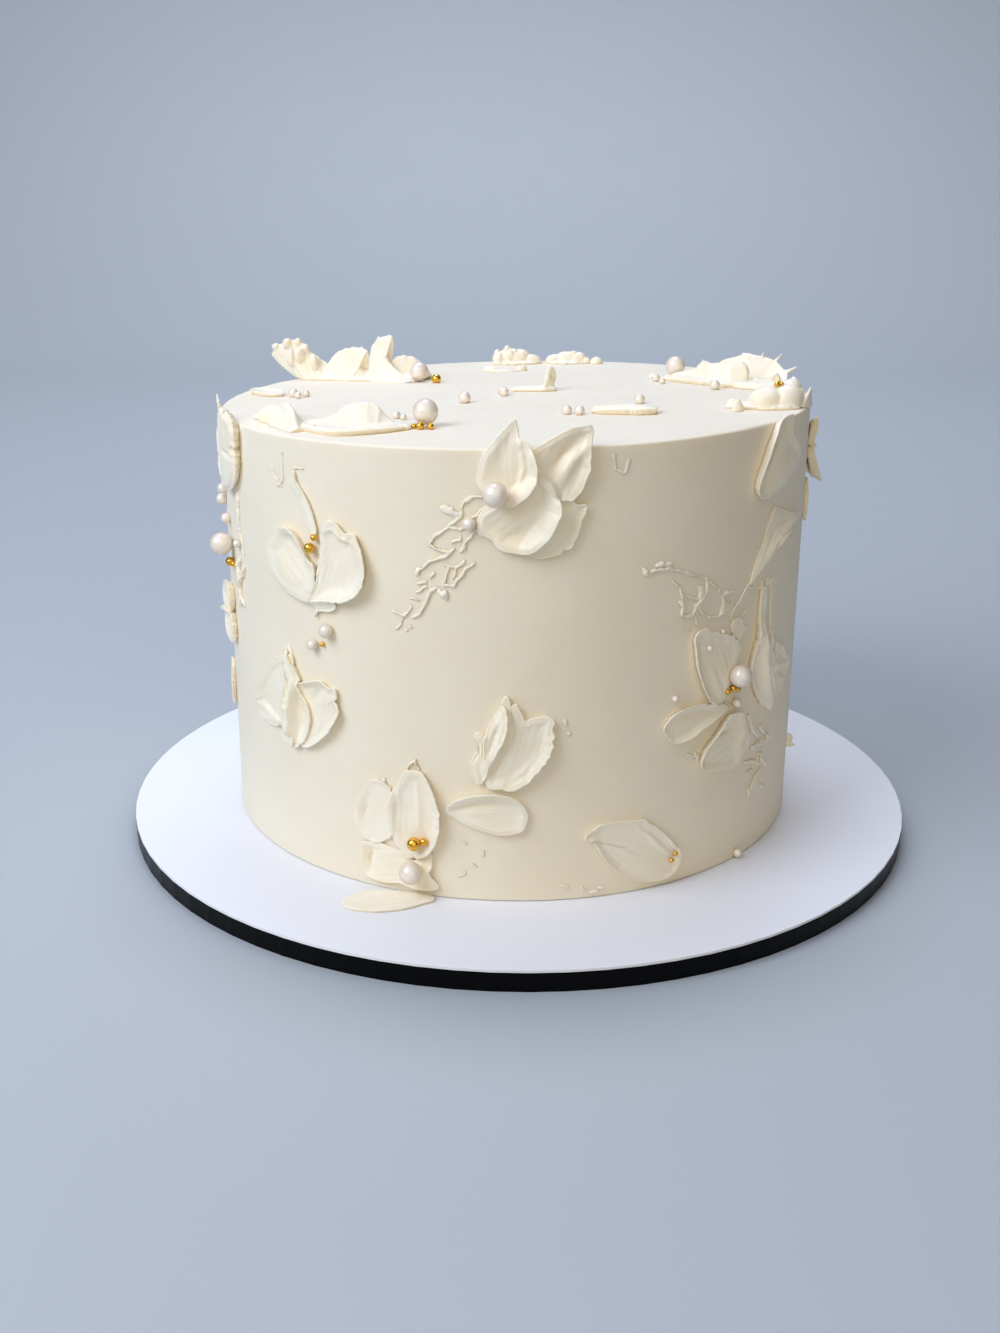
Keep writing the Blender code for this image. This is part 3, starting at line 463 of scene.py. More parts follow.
class Palette:
    """The finished materials, each made once."""

    def __init__(self) -> None:
        """Start with none made."""
        self.made: dict[str, bpy.types.Material] = {}

    def dress(self, piece: bpy.types.Object, finish: Finish) -> None:
        """Put a finish on a piece, in place of any that it has."""
        if finish.name not in self.made:
            self.made[finish.name] = finish.build()
        piece.data.materials.clear()
        piece.data.materials.append(self.made[finish.name])


PALETTE = Palette()


# Modelling steps

def deselect_all() -> None:
    """Leave object mode clean, with nothing selected."""
    if bpy.context.object and bpy.context.object.mode != "OBJECT":
        bpy.ops.object.mode_set(mode="OBJECT")
    bpy.ops.object.select_all(action="DESELECT")


def choose(piece: bpy.types.Object) -> None:
    """Select one piece alone and make it the active one."""
    deselect_all()
    piece.select_set(True)
    bpy.context.view_layer.objects.active = piece


def read_points(piece: bpy.types.Object) -> np.ndarray:
    """Copy a piece's points as rows of X, Y and Z."""
    spots = np.empty(len(piece.data.vertices) * 3)
    piece.data.vertices.foreach_get("co", spots)
    return spots.reshape(-1, 3)


def write_points(piece: bpy.types.Object, spots: np.ndarray) -> None:
    """Put a piece's points at new places."""
    piece.data.vertices.foreach_set("co", spots.ravel())
    piece.data.update()


def sculpt_grid(
    name: str, columns: int, rows: int, place: Callable[[np.ndarray, np.ndarray], np.ndarray]
) -> bpy.types.Object:
    """Start from a flat grid and press each of its points to its place.

    Args:
        name: Name of the piece.
        columns: Faces across.
        rows: Faces along.
        place: Gives places in metres for grid coordinates from -1 to 1.

    Returns:
        The piece, an open sheet with coinciding points merged.
    """
    deselect_all()
    bpy.ops.mesh.primitive_grid_add(x_subdivisions=columns, y_subdivisions=rows, size=2.0)
    piece = bpy.context.object
    piece.name = name
    piece.data.name = name
    spots = read_points(piece)
    write_points(piece, place(spots[:, 0], spots[:, 1]))
    bpy.ops.object.mode_set(mode="EDIT")
    bpy.ops.mesh.select_all(action="SELECT")
    bpy.ops.mesh.remove_doubles(threshold=MERGE)
    bpy.ops.object.mode_set(mode="OBJECT")
    return piece


def close_holes(piece: bpy.types.Object) -> None:
    """Fill the open outline of a sheet with one hidden face."""
    choose(piece)
    bpy.ops.object.mode_set(mode="EDIT")
    bpy.ops.mesh.select_mode(type="EDGE")
    bpy.ops.mesh.select_all(action="DESELECT")
    bpy.ops.mesh.select_non_manifold(extend=False, use_wire=False, use_multi_face=False,
                                     use_non_contiguous=False, use_verts=False)
    bpy.ops.mesh.edge_face_add()
    bpy.ops.mesh.select_mode(type="VERT")
    bpy.ops.object.mode_set(mode="OBJECT")


def add_modifier(piece: bpy.types.Object, kind: str, **settings: object) -> None:
    """Add one modifier with its settings and apply it."""
    choose(piece)
    modifier = piece.modifiers.new(kind.lower(), kind)
    for key, value in settings.items():
        setattr(modifier, key, value)
    bpy.ops.object.modifier_apply(modifier=modifier.name)


def shade(piece: bpy.types.Object, angle_deg: Optional[float] = None) -> None:
    """Shade a piece smooth, with sharp edges past an angle if one is given."""
    choose(piece)
    if angle_deg is None:
        bpy.ops.object.shade_smooth()
    else:
        bpy.ops.object.shade_smooth_by_angle(angle=radians(angle_deg))


def join(pieces: list[bpy.types.Object], name: str) -> bpy.types.Object:
    """Join several meshes into one piece with a new name."""
    choose(pieces[0])
    for piece in pieces:
        piece.select_set(True)
    bpy.ops.object.join()
    joined = bpy.context.object
    joined.name = name
    joined.data.name = name
    return joined


def hand_over(piece: bpy.types.Object, finish: Finish, slot: str, *nodes: str) -> None:
    """Dress a finished piece and tie it to the model.

    Args:
        piece: The finished mesh, its place in its points.
        finish: What it is made of.
        slot: Material slot of the record, not used.
        nodes: Solids that it stands for.
    """
    PALETTE.dress(piece, finish)
    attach(piece, BODY)
    if nodes:
        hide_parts(*nodes)
    LOG.info("%s: %d faces", piece.name, len(piece.data.polygons))


BODY = next(iter(frame["bodies"]))


# Knife strokes

Corner = tuple[float, float, float]


def blade(
    base: tuple[float, float],
    tip: tuple[float, float],
    half_width: float,
    ends: tuple[float, float] = (0.5, 0.5),
    rims: tuple[float, float, float, float] = (0.0, 0.0, 0.0, 0.0),
    bow: float = 0.0,
) -> tuple[Corner, ...]:
    """Outline of a plain stroke that the knife pulls from its base to its tip.

    Args:
        base: Where the stroke starts, in mm on its surface.
        tip: Where it ends.
        half_width: Half its width at the widest place.
        ends: How sharp base and tip are, 0.3 for round and 1 for pointed.
        rims: Heights of the raised edge at the left, right, tip and base.
        bow: How far the stroke bends to its left.

    Returns:
        The outline's corners with the rim's height at each.
    """
    start = np.array(base)
    run = np.array(tip) - start
    across = np.array((-run[1], run[0])) / np.hypot(*run)
    widest = ends[0] / sum(ends)
    crest = widest ** ends[0] * (1.0 - widest) ** ends[1]
    turn = np.linspace(0.0, 2.0 * pi, 29)[:-1]
    share = 0.5 - 0.5 * np.cos(turn)
    side = np.sign(np.sin(turn)) * half_width * share ** ends[0] * (1.0 - share) ** ends[1] / crest
    spots = start + run * share[:, None] + across * (side + bow * 4.0 * share * (1.0 - share))[:, None]
    left, right, top, foot = rims
    flank = np.where(side > 0.0, left, right)
    to_tip = smooth(0.7, 1.0, share)
    to_base = smooth(0.3, 0.0, share)
    rim = flank * (1.0 - to_tip - to_base) + top * to_tip + foot * to_base
    return tuple((float(u), float(v), float(r)) for (u, v), r in zip(spots, rim))


def between(
    before: np.ndarray, start: np.ndarray, end: np.ndarray, after: np.ndarray, t: float | np.ndarray
) -> np.ndarray:
    """Bend smoothly from start to end, aimed by the points before and after them.

    Args:
        before: Point before the start.
        start: Point where t is 0.
        end: Point where t is 1.
        after: Point after the end.
        t: How far to go, from 0 to 1.

    Returns:
        The point at t.
    """
    turn = 2 * before - 5 * start + 4 * end - after
    twist = 3 * start - before - 3 * end + after
    return (2 * start + (end - before) * t + turn * t ** 2 + twist * t ** 3) / 2


Line = tuple[tuple[float, float], ...]


@dataclass(frozen=True)
class Crease:
    """A ridge, or with a negative height a furrow, along a line on the surface, in mm."""

    line: Line
    height: float
    width: float

    def gap(self, u: np.ndarray, v: np.ndarray) -> tuple[np.ndarray, np.ndarray]:
        """Distance of places from the line, and how far along it they lie, from 0 to 1."""
        nearest = np.full(np.shape(u), 99.0)
        along = np.zeros(np.shape(u))
        corners = np.array(self.line)
        steps = len(corners) - 1
        for number, (start, end) in enumerate(zip(corners[:-1], corners[1:])):
            run = end - start
            share = np.clip(((u - start[0]) * run[0] + (v - start[1]) * run[1]) / run.dot(run), 0.0, 1.0)
            gap = np.hypot(u - start[0] - share * run[0], v - start[1] - share * run[1])
            along = np.where(gap < nearest, (number + share) / steps, along)
            nearest = np.minimum(nearest, gap)
        return nearest, along

    def rise(self, u: np.ndarray, v: np.ndarray) -> np.ndarray:
        """Height that the crease adds at each place."""
        gap, along = self.gap(u, v)
        fade = np.sin(pi * (0.1 + 0.8 * along)) ** 0.6
        return self.height * fade * np.exp(-((gap / self.width) ** 2))


@dataclass(frozen=True)
class Stroke:
    """One palette-knife stroke, in mm on its surface.

    outline gives its corners and the height of the raised rim at each. rim_width is
    how wide the rim's slope is, pad the stroke's thickness, crown its swell in the
    middle, lift how far its far end stands off the surface and pull the bearing in
    which the knife left. ragged is how uneven the edge is, and undercut how far the
    edge leans out over its foot, as a share of its height.
    """

    name: str
    outline: tuple[Corner, ...]
    rim_width: float = 2.5
    pad: float = 1.0
    crown: float = 0.0
    lift: float = 0.0
    pull: float = 90.0
    creases: tuple[Crease, ...] = ()
    ragged: float = 0.2
    undercut: float = 0.45
    own_node: bool = True

    @property
    def seed(self) -> int:
        """A number of the stroke's own for its uneven relief."""
        return sum(ord(letter) * (place + 1) for place, letter in enumerate(self.name))

    @cached_property
    def edge(self) -> tuple[np.ndarray, np.ndarray, np.ndarray]:
        """Fine outline: its places, the rim's height and the direction out at each."""
        corners = np.array(self.outline)
        u, v = corners[:, 0], corners[:, 1]
        if np.sum(u * np.roll(v, -1) - np.roll(u, -1) * v) < 0.0:
            corners = corners[::-1]
        before, after, beyond = (np.roll(corners, shift, axis=0) for shift in (1, -1, -2))
        parts = []
        for t in np.linspace(0.0, 1.0, 17)[:-1]:
            parts.append(between(before, corners, after, beyond, t))
        curve = np.stack(parts, axis=1).reshape(-1, 3)
        curve = np.vstack((curve, curve[:1]))
        walked = np.concatenate(((0.0,), np.cumsum(np.hypot(*np.diff(curve[:, :2], axis=0).T))))
        count = int(walked[-1] / EDGE_STEP)
        stops = np.linspace(0.0, walked[-1], count, endpoint=False)
        fine = np.stack([np.interp(stops, walked, curve[:, column]) for column in range(3)], axis=1)
        tangent = np.roll(fine[:, :2], -2, axis=0) - np.roll(fine[:, :2], 2, axis=0)
        size = np.maximum(1e-6, np.hypot(*tangent.T))
        out = np.stack((tangent[:, 1], -tangent[:, 0]), axis=1) / size[:, None]
        # Teeth 1.5 and 0.6 mm wide, in runs of about 7 mm, that fade out where the outline closes
        seam = smooth(0.0, 3.0, stops) * smooth(walked[-1], walked[-1] - 3.0, stops)
        uneven = 0.35 + 0.9 * np.clip(0.5 + grain(stops / 7.0, stops * 0.0 + 0.3, self.seed + 4), 0.0, 1.0)
        rough = grain(stops / 1.5, stops * 0.0 + 0.4, self.seed + 5)
        rough = rough + 0.6 * grain(stops / 0.6, stops * 0.0 + 0.7, self.seed + 6)
        places = fine[:, :2] + out * (RAGGED_GAIN * self.ragged * uneven * rough * seam)[:, None]
        return places, np.maximum(fine[:, 2], 0.0), out

    def reach(self, u: np.ndarray, v: np.ndarray) -> tuple[np.ndarray, np.ndarray]:
        """Distance from the outline, negative outside it, and the height of the rim nearby."""
        places, rims, _ = self.edge
        shape = np.shape(u)
        flat_u = np.ravel(u)[:, None]
        flat_v = np.ravel(v)[:, None]
        gap = np.hypot(flat_u - places[:, 0], flat_v - places[:, 1])
        nearest = gap.min(axis=1)
        weight = np.exp(-(gap - nearest[:, None]) / 1.1)
        rim = (weight * rims).sum(axis=1) / weight.sum(axis=1)
        start_u, start_v = places.T
        end_u, end_v = np.roll(places, -1, axis=0).T
        crosses = (start_v > flat_v) != (end_v > flat_v)
        rise = np.where(np.abs(end_v - start_v) < 1e-9, 1e-9, end_v - start_v)
        crossed = flat_u < (end_u - start_u) * (flat_v - start_v) / rise + start_u
        inside = (crosses & crossed).sum(axis=1) % 2
        return np.where(inside == 1, nearest, -nearest).reshape(shape), rim.reshape(shape)

    def lift_at(self, u: np.ndarray, v: np.ndarray) -> np.ndarray:
        """How far the stroke has left the surface on the knife's way."""
        if not self.lift:
            return np.zeros(np.shape(u))
        way = np.array((cos(radians(self.pull)), sin(radians(self.pull))))
        ends = self.edge[0] @ way
        share = (u * way[0] + v * way[1] - ends.min()) / (ends.max() - ends.min())
        return self.lift * smooth(0.2, 1.0, share)

    def height(self, u: np.ndarray, v: np.ndarray, distance: np.ndarray, rim: np.ndarray) -> np.ndarray:
        """Height of the upper face over what the stroke lies on, without fine relief."""
        inside = np.maximum(distance, 0.0)
        total = self.pad * (0.55 + 0.45 * smooth(0.0, 1.5, inside))
        total = total + RIM_GAIN * rim * np.clip(1.0 - inside / self.rim_width, 0.0, 1.0) ** 1.7
        if self.crown:
            deepest = min(self.edge[0].max(axis=0) - self.edge[0].min(axis=0)) / 2.0
            total = total + self.crown * (1.0 - np.clip(1.0 - inside / deepest, 0.0, 1.0) ** 2)
        for crease in self.creases:
            total = total + CREASE_GAIN * crease.rise(u, v)
        return total + self.lift_at(u, v)

    def relief(self, u: np.ndarray, v: np.ndarray, distance: np.ndarray) -> np.ndarray:
        """Fine streaks that the knife leaves along its path, and soft unevenness."""
        way = radians(self.pull)
        along = u * cos(way) + v * sin(way)
        across = u * sin(way) - v * cos(way)
        # Streaks 0.8 and 0.36 mm wide, and swells of about 5 mm
        streaks = 0.08 * grain(across / 0.8, along / 11.0, self.seed)
        streaks = streaks + 0.03 * grain(across / 0.36, along / 6.0, 1)
        swells = 0.16 * grain(across / 4.2 + 7.3, along / 5.6, self.seed + 2)
        return (streaks + swells) * smooth(0.0, 1.2, distance)


@dataclass
class StrokeBench:
    """Presses the strokes of one flower on each other, the last one on top."""

    surface: Surface
    strokes: tuple[Stroke, ...]
    fineness: float = 0.32
    lip: float = 0.6
    sunk: float = 0.3

    # How far each ring below the edge stands out and down, as shares of the lip
    LIP_RINGS = ((0.42, 0.16), (0.55, 0.5), (0.36, 0.84))

    def ground(self, index: int, u: np.ndarray, v: np.ndarray) -> np.ndarray:
        """Height of the strokes under one stroke, pressed down by it."""
        highest = np.zeros_like(u)
        for stroke in self.strokes[:index]:
            distance, rim = stroke.reach(u, v)
            height = np.minimum(stroke.height(u, v, distance, rim), stroke.pad + 1.2)
            highest = np.maximum(highest, height * smooth(-1.5, 0.5, distance))
        return highest * 0.8

    def ceiling(self, index: int, u: np.ndarray, v: np.ndarray) -> np.ndarray:
        """Lowest underside of the strokes that lie over one stroke."""
        lowest = np.full_like(u, 99.0)
        for above in range(index + 1, len(self.strokes)):
            stroke = self.strokes[above]
            distance, rim = stroke.reach(u, v)
            height = stroke.height(u, v, distance, rim) + self.ground(above, u, v) - 0.45
            lowest = np.where(distance > 0.0, np.minimum(lowest, height), lowest)
        return lowest

    def build(self, index: int) -> bpy.types.Object:
        """Model one stroke as a closed body.

        Args:
            index: Place of the stroke in the flower, the lowest one first.

        Returns:
            The piece, shaded smooth.
        """
        stroke = self.strokes[index]
        places, _, out = stroke.edge
        rings = len(self.LIP_RINGS) + 2
        inner = int(np.clip(len(places) * EDGE_STEP / self.fineness / 4.0, 16, 76))
        size = inner + 2 * rings
        centre = places.mean(axis=0)

        def place(x: np.ndarray, y: np.ndarray) -> np.ndarray:
            """Put each grid point on the upper face or on a ring of the edge."""
            reach = np.maximum(np.abs(x), np.abs(y))
            flat = np.abs(x) >= np.abs(y)
            safe_x = np.where(x == 0.0, 1e-9, x)
            safe_y = np.where(y == 0.0, 1e-9, y)
            turn = np.where(flat, y / safe_x + np.where(x < 0.0, 4.0, 0.0),
                            2.0 - x / safe_y + np.where(y < 0.0, 4.0, 0.0))
            stop = (turn / 8.0 % 1.0) * len(places)
            numbers = np.arange(len(places) + 1)
            closed = np.vstack((places, places[:1]))
            closed_out = np.vstack((out, out[:1]))
            rim_u, rim_v, out_u, out_v = (
                np.interp(stop, numbers, column) for column in (*closed.T, *closed_out.T)
            )
            ring = np.clip(np.rint((reach * size - inner) / 2.0), 0, rings).astype(int)
            share = np.clip(reach * size / inner, 0.0, 1.0)
            u = centre[0] + share * (rim_u - centre[0])
            v = centre[1] + share * (rim_v - centre[1])
            height, past = self.profile(index, u, v, ring)
            return self.surface.points(u + past * out_u, v + past * out_v, height)

        piece = sculpt_grid(stroke.name, size, size, place)
        close_holes(piece)
        shade(piece)
        return piece

    def profile(
        self, index: int, u: np.ndarray, v: np.ndarray, ring: np.ndarray
    ) -> tuple[np.ndarray, np.ndarray]:
        """Height over the surface and distance past the outline of each grid point.

        Args:
            index: Which stroke.
            u: First distance on the surface.
            v: Second distance on the surface.
            ring: 0 on the upper face, then one more for each ring down the edge.

        Returns:
            Heights and distances out, in mm.
        """
        stroke = self.strokes[index]
        distance, rim = stroke.reach(u, v)
        distance = np.where(ring > 0, 0.0, np.maximum(distance, 0.0))
        top = stroke.height(u, v, distance, rim) + stroke.relief(u, v, distance) + self.ground(index, u, v)
        top = np.maximum(np.minimum(top, self.ceiling(index, u, v)), 0.15)
        foot = stroke.lift_at(u, v) * 0.8
        lip = np.minimum(self.lip, 0.5 * (top - foot))
        height = top.copy()
        past = np.zeros_like(top)
        for number, (push, drop) in enumerate(self.LIP_RINGS, start=1):
            here = ring == number
            height = np.where(here, top - drop * lip, height)
            past = np.where(here, push * lip, past)
        body = np.maximum(0.0, top - lip - foot)
        middle = ring == len(self.LIP_RINGS) + 1
        height = np.where(middle, foot + 0.45 * body, height)
        past = np.where(middle, -0.6 * stroke.undercut * body, past)
        bottom = ring == len(self.LIP_RINGS) + 2
        height = np.where(bottom, foot - self.sunk, height)
        past = np.where(bottom, -stroke.undercut * body, past)
        return height, past

    def finish_all(self) -> None:
        """Model, dress and tie each stroke, to the solid of its name if it has one."""
        for index, stroke in enumerate(self.strokes):
            piece = self.build(index)
            nodes = (stroke.name,) if stroke.own_node else ()
            hand_over(piece, PETAL_CREAM, "buttercream_petal", *nodes)


@dataclass
class Lace:
    """Thin threads and crumbs that the knife pulled from a stroke and left on the wall.

    Each line comes with the height and half width of its thread. waver is how far a
    thread strays from its line, sunk its depth in the wall and backing what closes it.
    """

    name: str
    lines: tuple[tuple[Line, float, float], ...]
    spacing: float = 0.24
    margin: float = 1.2
    waver: float = 0.35
    sunk: float = 0.3
    backing: float = 0.35

    def build(self) -> bpy.types.Object:
        """Press the threads up from a grid, drop what lies between them and close the back."""
        threads = [Crease(*line) for line in self.lines]
        corners = np.array([corner for thread in threads for corner in thread.line])
        low = corners.min(axis=0) - self.margin
        high = corners.max(axis=0) + self.margin
        columns, rows = np.ceil((high - low) / self.spacing).astype(int)
        seed = len(threads)
        levels = {}

        def place(x: np.ndarray, y: np.ndarray) -> np.ndarray:
            """Raise each grid point as far as the highest thread over it."""
            u = low[0] + (x + 1.0) / 2.0 * (high[0] - low[0])
            v = low[1] + (y + 1.0) / 2.0 * (high[1] - low[1])
            bent_u = u + self.waver * grain(u / 1.7, v / 1.7, seed)
            bent_v = v + self.waver * grain(u / 1.7 + 9.0, v / 1.7, seed + 1)
            uneven = 0.8 + 0.45 * grain(u / 1.3, v / 1.3 + 5.0, seed + 2)
            height = np.full_like(u, -self.sunk)
            for thread in threads:
                gap, along = thread.gap(bent_u, bent_v)
                width = LACE_GAIN * thread.width * uneven
                dome = np.sqrt(np.clip(1.0 - (gap / width) ** 2, 0.0, 1.0))
                fade = 0.7 + 0.3 * np.sin(pi * along)
                rise = LACE_GAIN * thread.height * fade * dome
                height = np.maximum(height, rise - self.sunk * (gap > width))
            height = height + 0.05 * grain(u / 0.7, v / 0.7, seed + 3) * (height > 0.0)
            levels["height"] = height
            return Surface.SIDE.points(u, v, height)

        piece = sculpt_grid(self.name, columns, rows, place)
        self.drop_between(piece, levels["height"] > 0.0)
        add_modifier(piece, "SOLIDIFY", thickness=self.backing * MM, offset=-1.0)
        shade(piece)
        return piece

    def drop_between(self, piece: bpy.types.Object, raised: np.ndarray) -> None:
        """Delete the faces that touch no raised point.

        Args:
            piece: The pressed grid.
            raised: Whether each of its points stands out of the surface.
        """
        loops = np.empty(len(piece.data.polygons) * 4, dtype=int)
        piece.data.polygons.foreach_get("vertices", loops)
        keep = raised[loops.reshape(-1, 4)].any(axis=1)
        choose(piece)
        bpy.ops.object.mode_set(mode="EDIT")
        bpy.ops.mesh.select_mode(type="FACE")
        bpy.ops.mesh.select_all(action="DESELECT")
        bpy.ops.object.mode_set(mode="OBJECT")
        piece.data.polygons.foreach_set("select", ~keep)
        bpy.ops.object.mode_set(mode="EDIT")
        bpy.ops.mesh.delete(type="FACE")
        bpy.ops.mesh.select_mode(type="VERT")
        bpy.ops.object.mode_set(mode="OBJECT")

    def finish(self) -> None:
        """Model the threads and dress them."""
        hand_over(self.build(), PETAL_CREAM, "buttercream_petal")


FRONT_FLOWER = (
    Stroke("front_petal_behind", (
        (13.5, 128.2, 0.8), (15.4, 126.6, 1.2), (18, 126.8, 1.4), (17.9, 124.3, 1), (16.8, 121.6, 0.8),
        (15.7, 117.7, 0.9), (14.3, 114.6, 0.9), (10.7, 112.7, 0.7), (6.3, 111.3, 0.6), (2.4, 112.1, 0.4),
        (1, 115, 0.3), (5, 121, 0.3), (9, 127, 0.3)), 1.6, ragged=0.35, pull=50),
    Stroke("front_petal_cupped", (
        (-10.9, 124.9, 0.5), (-12.6, 122.7, 0.4), (-12.9, 119.9, 0.3), (-11.8, 117.7, 0.4),
        (-8.7, 116.6, 0.6),
        (-6.2, 113.8, 0.9), (-2.1, 112.9, 1.2), (1.8, 112.9, 1.6), (5.2, 115.2, 2.4), (7.9, 118.8, 2.9),
        (9.9, 123.2, 3.2), (10.2, 126.6, 3.2), (9.3, 129.9, 3), (7.7, 133.2, 2.4), (5.2, 134.6, 1.6),
        (1.5, 133.5, 0.5), (-2.5, 130.5, 0.4), (-6.5, 127.4, 0.4)), 5.5, pad=1.3, ragged=0.2, pull=35,
        creases=(Crease(((-9, 119.5), (-2, 117), (3.5, 120)), -0.5, 2.6),)),
    Stroke("front_petal_right", (
        (2.4, 141.5, 0.5), (5.2, 144, 0.6), (10.2, 146.8, 0.6), (14, 148.6, 0.8), (18.9, 149.2, 0.5),
        (18.9, 149.2, 0.5), (19.6, 147.1, 0.9), (18.6, 142.9, 1.4), (18.9, 139.9, 1.6), (18.5, 136.6, 1.7),
        (16.8, 132.1, 1.6), (14.6, 128.8, 1.2), (11, 128.4, 0.6), (6.5, 131.5, 0.4), (3, 137, 0.4)),
        3, pad=1.2, ragged=0.22, pull=60,
        creases=(Crease(((7, 135), (11, 141), (16.5, 145.5)), -0.9, 1.9),
                 Crease(((10.5, 133.5), (14, 139.5), (17.5, 143.5)), 0.9, 1.8))),
    Stroke("front_petal_left", (
        (-3, 127, 1.8), (-8, 128.6, 1.2), (-11.6, 131, 0.9), (-12.6, 134, 0.7), (-11.4, 140.2, 0.6),
        (-7.3, 146, 0.7), (-3.6, 150.2, 0.8), (-2.2, 150.8, 0.5), (-1.6, 147.8, 0.8), (-1, 145.4, 1.2),
        (0.8, 144.8, 2.2), (2.5, 141.6, 2.8), (3.6, 137.7, 3.1), (3.1, 133.6, 3), (0.9, 129.8, 2.6)),
        4.4, pad=1.1, ragged=0.22, pull=95,
        creases=(Crease(((-1.6, 131), (0.2, 137.5), (-1.2, 145)), 0.7, 0.7),
                 Crease(((-6.5, 133), (-6, 140), (-3.6, 147)), -0.35, 2.2))),
)
HEART_FLOWER = (
    Stroke("heart_stem", (
        (-77.7, 128.2, 0.3), (-74.6, 130.6, 0.5), (-73.2, 127.6, 0.7), (-69.8, 124, 0.9),
        (-67.2, 119.5, 0.9),
        (-65.7, 114.8, 0.8), (-66.4, 112.3, 0.5), (-69.2, 114, 0), (-71.5, 119, 0), (-75, 124.5, 0.1)),
        1.3, pad=0.55, ragged=0.2, pull=120),
    Stroke("heart_petal_left", (
        (-88.2, 105.2, 0.8), (-87.2, 107.4, 0.9), (-83.6, 109.2, 1.2), (-82.2, 111.8, 1.5),
        (-78.2, 113.4, 1.9),
        (-74.4, 112.4, 2), (-71.2, 108.6, 1.8), (-68.8, 104.6, 1.4), (-66, 103, 1.6), (-65.9, 98.6, 1.4),
        (-67.6, 94.6, 1), (-69, 91.4, 0.7), (-73.2, 91.6, 0.7), (-79, 93.2, 0.8), (-84, 96, 0.9),
        (-87.6, 99.6, 0.9)), 4.4, pad=1.2, ragged=0.16, pull=140,
        creases=(Crease(((-84, 104), (-79, 99), (-72, 95)), 1, 4.5),
                 Crease(((-74.5, 110), (-71.5, 105), (-68.8, 101.5)), -0.6, 1.8))),
    Stroke("heart_petal_right", (
        (-64.6, 103.2, 0.9), (-63.6, 108, 0.8), (-62.9, 113.4, 0.9), (-61.6, 116.6, 1.2), (-59, 118.2, 1.4),
        (-56.6, 117.2, 1.2), (-54.2, 114.8, 1), (-51, 114.9, 1.1), (-49.4, 112.4, 1.2), (-47.9, 109.2, 1.8),
        (-46.7, 104.4, 2.4), (-47.5, 100, 2.7), (-50, 96.6, 2.7), (-54, 94.3, 2.4), (-59.5, 93, 1.9),
        (-65, 92, 1.3), (-68.4, 91.5, 0.7), (-67, 94.4, 0.7), (-65.1, 98.4, 0.9)), 4.6, pad=1.1,
        ragged=0.28, pull=70,
        creases=(Crease(((-61.5, 114.5), (-58.5, 115.6), (-56, 113.2), (-51.5, 112.2)), 0.5, 0.6),)),
    Stroke("heart_scrap", (
        (-67.6, 91.8, 0.4), (-60.2, 93.2, 0.4), (-58.9, 91.4, 0.5), (-60.5, 90, 0.5), (-65.3, 89.1, 0.4),
        (-67, 87.2, 0.2), (-67, 87.2, 0.2), (-66.4, 89.6, 0.3)), 1.2, pad=1.5, ragged=0.15, pull=0,
        own_node=False),
)
TULIP_FLOWER = (
    Stroke("tulip_scrap_left", (
        (-99.8, 49.4, 0.4), (-94, 50.2, 0.3), (-89.5, 48.6, 0.3), (-86.8, 47, 0.3), (-88.5, 45.2, 0.3),
        (-94, 44.8, 0.4), (-99.2, 46.8, 0.4)), 1.4, pad=1.2, ragged=0.2, pull=0, own_node=False),
    Stroke("tulip_petal_left", (
        (-102, 50.2, 0.8), (-102, 50.2, 0.8), (-97.6, 57.2, 1.3), (-93.4, 63.2, 1.4), (-88.2, 67.8, 1.2),
        (-84, 70, 1), (-80.4, 71.6, 0.9), (-78.2, 70.4, 0.8), (-77.6, 60, 0.8), (-78.4, 51, 0.6),
        (-79, 45.8, 0.4), (-84, 46, 0.4), (-90, 47.6, 0.5), (-96, 49.8, 0.5)), 3.2, pad=1,
        ragged=0.15, pull=110),
    Stroke("tulip_petal_right", (
        (-75.6, 43.2, 1), (-72, 42.8, 1.2), (-68.5, 44.8, 1.5), (-64, 48.4, 1.8), (-61, 52, 1.9),
        (-58.7, 55.8, 1.9), (-58.2, 58, 1.4), (-60.1, 60.8, 0.9), (-59.2, 62, 1), (-59.7, 64.8, 1.2),
        (-62.4, 64.8, 1.1), (-65.5, 66.3, 1.5), (-70, 65.1, 1.6), (-75.2, 62.6, 1.2), (-74, 55, 0.3),
        (-74.5, 49, 0.3)), 2.3, pad=1, ragged=0.2, pull=60,
        creases=(Crease(((-70.5, 58.5), (-66.5, 62), (-63.5, 64)), -0.4, 1.6),)),
    Stroke("tulip_fold", (
        (-79.6, 44, 1.6), (-78.8, 41.2, 1.2), (-75, 43, 0.6), (-71.8, 47.2, 0.7), (-70.2, 52.4, 0.9),
        (-71.2, 57, 0.9), (-74.2, 61.2, 1), (-75.4, 65, 0.9), (-77.4, 68.6, 1), (-79.6, 71.4, 0.9),
        (-81.6, 74.2, 0.6), (-81.4, 71, 1), (-79.6, 66, 1.6), (-80.5, 58, 2.2), (-80.4, 50, 2.2)),
        2.4, pad=1, ragged=0.2, pull=92,
        creases=(Crease(((-79, 43), (-78.6, 50), (-78.4, 57), (-77, 63.5)), 1.5, 1.2),
                 Crease(((-75, 46.5), (-73.6, 52), (-74.8, 58)), -0.8, 2))),
    Stroke("tulip_scrap_low", (
        (-85.2, 44.4, 0.3), (-79.6, 45, 0.3), (-78.2, 44, 0.4), (-78.6, 41.6, 0.4), (-82, 41.2, 0.4),
        (-85.2, 42.4, 0.4)), 1.2, pad=1.4, ragged=0.2, pull=0, own_node=False),
)
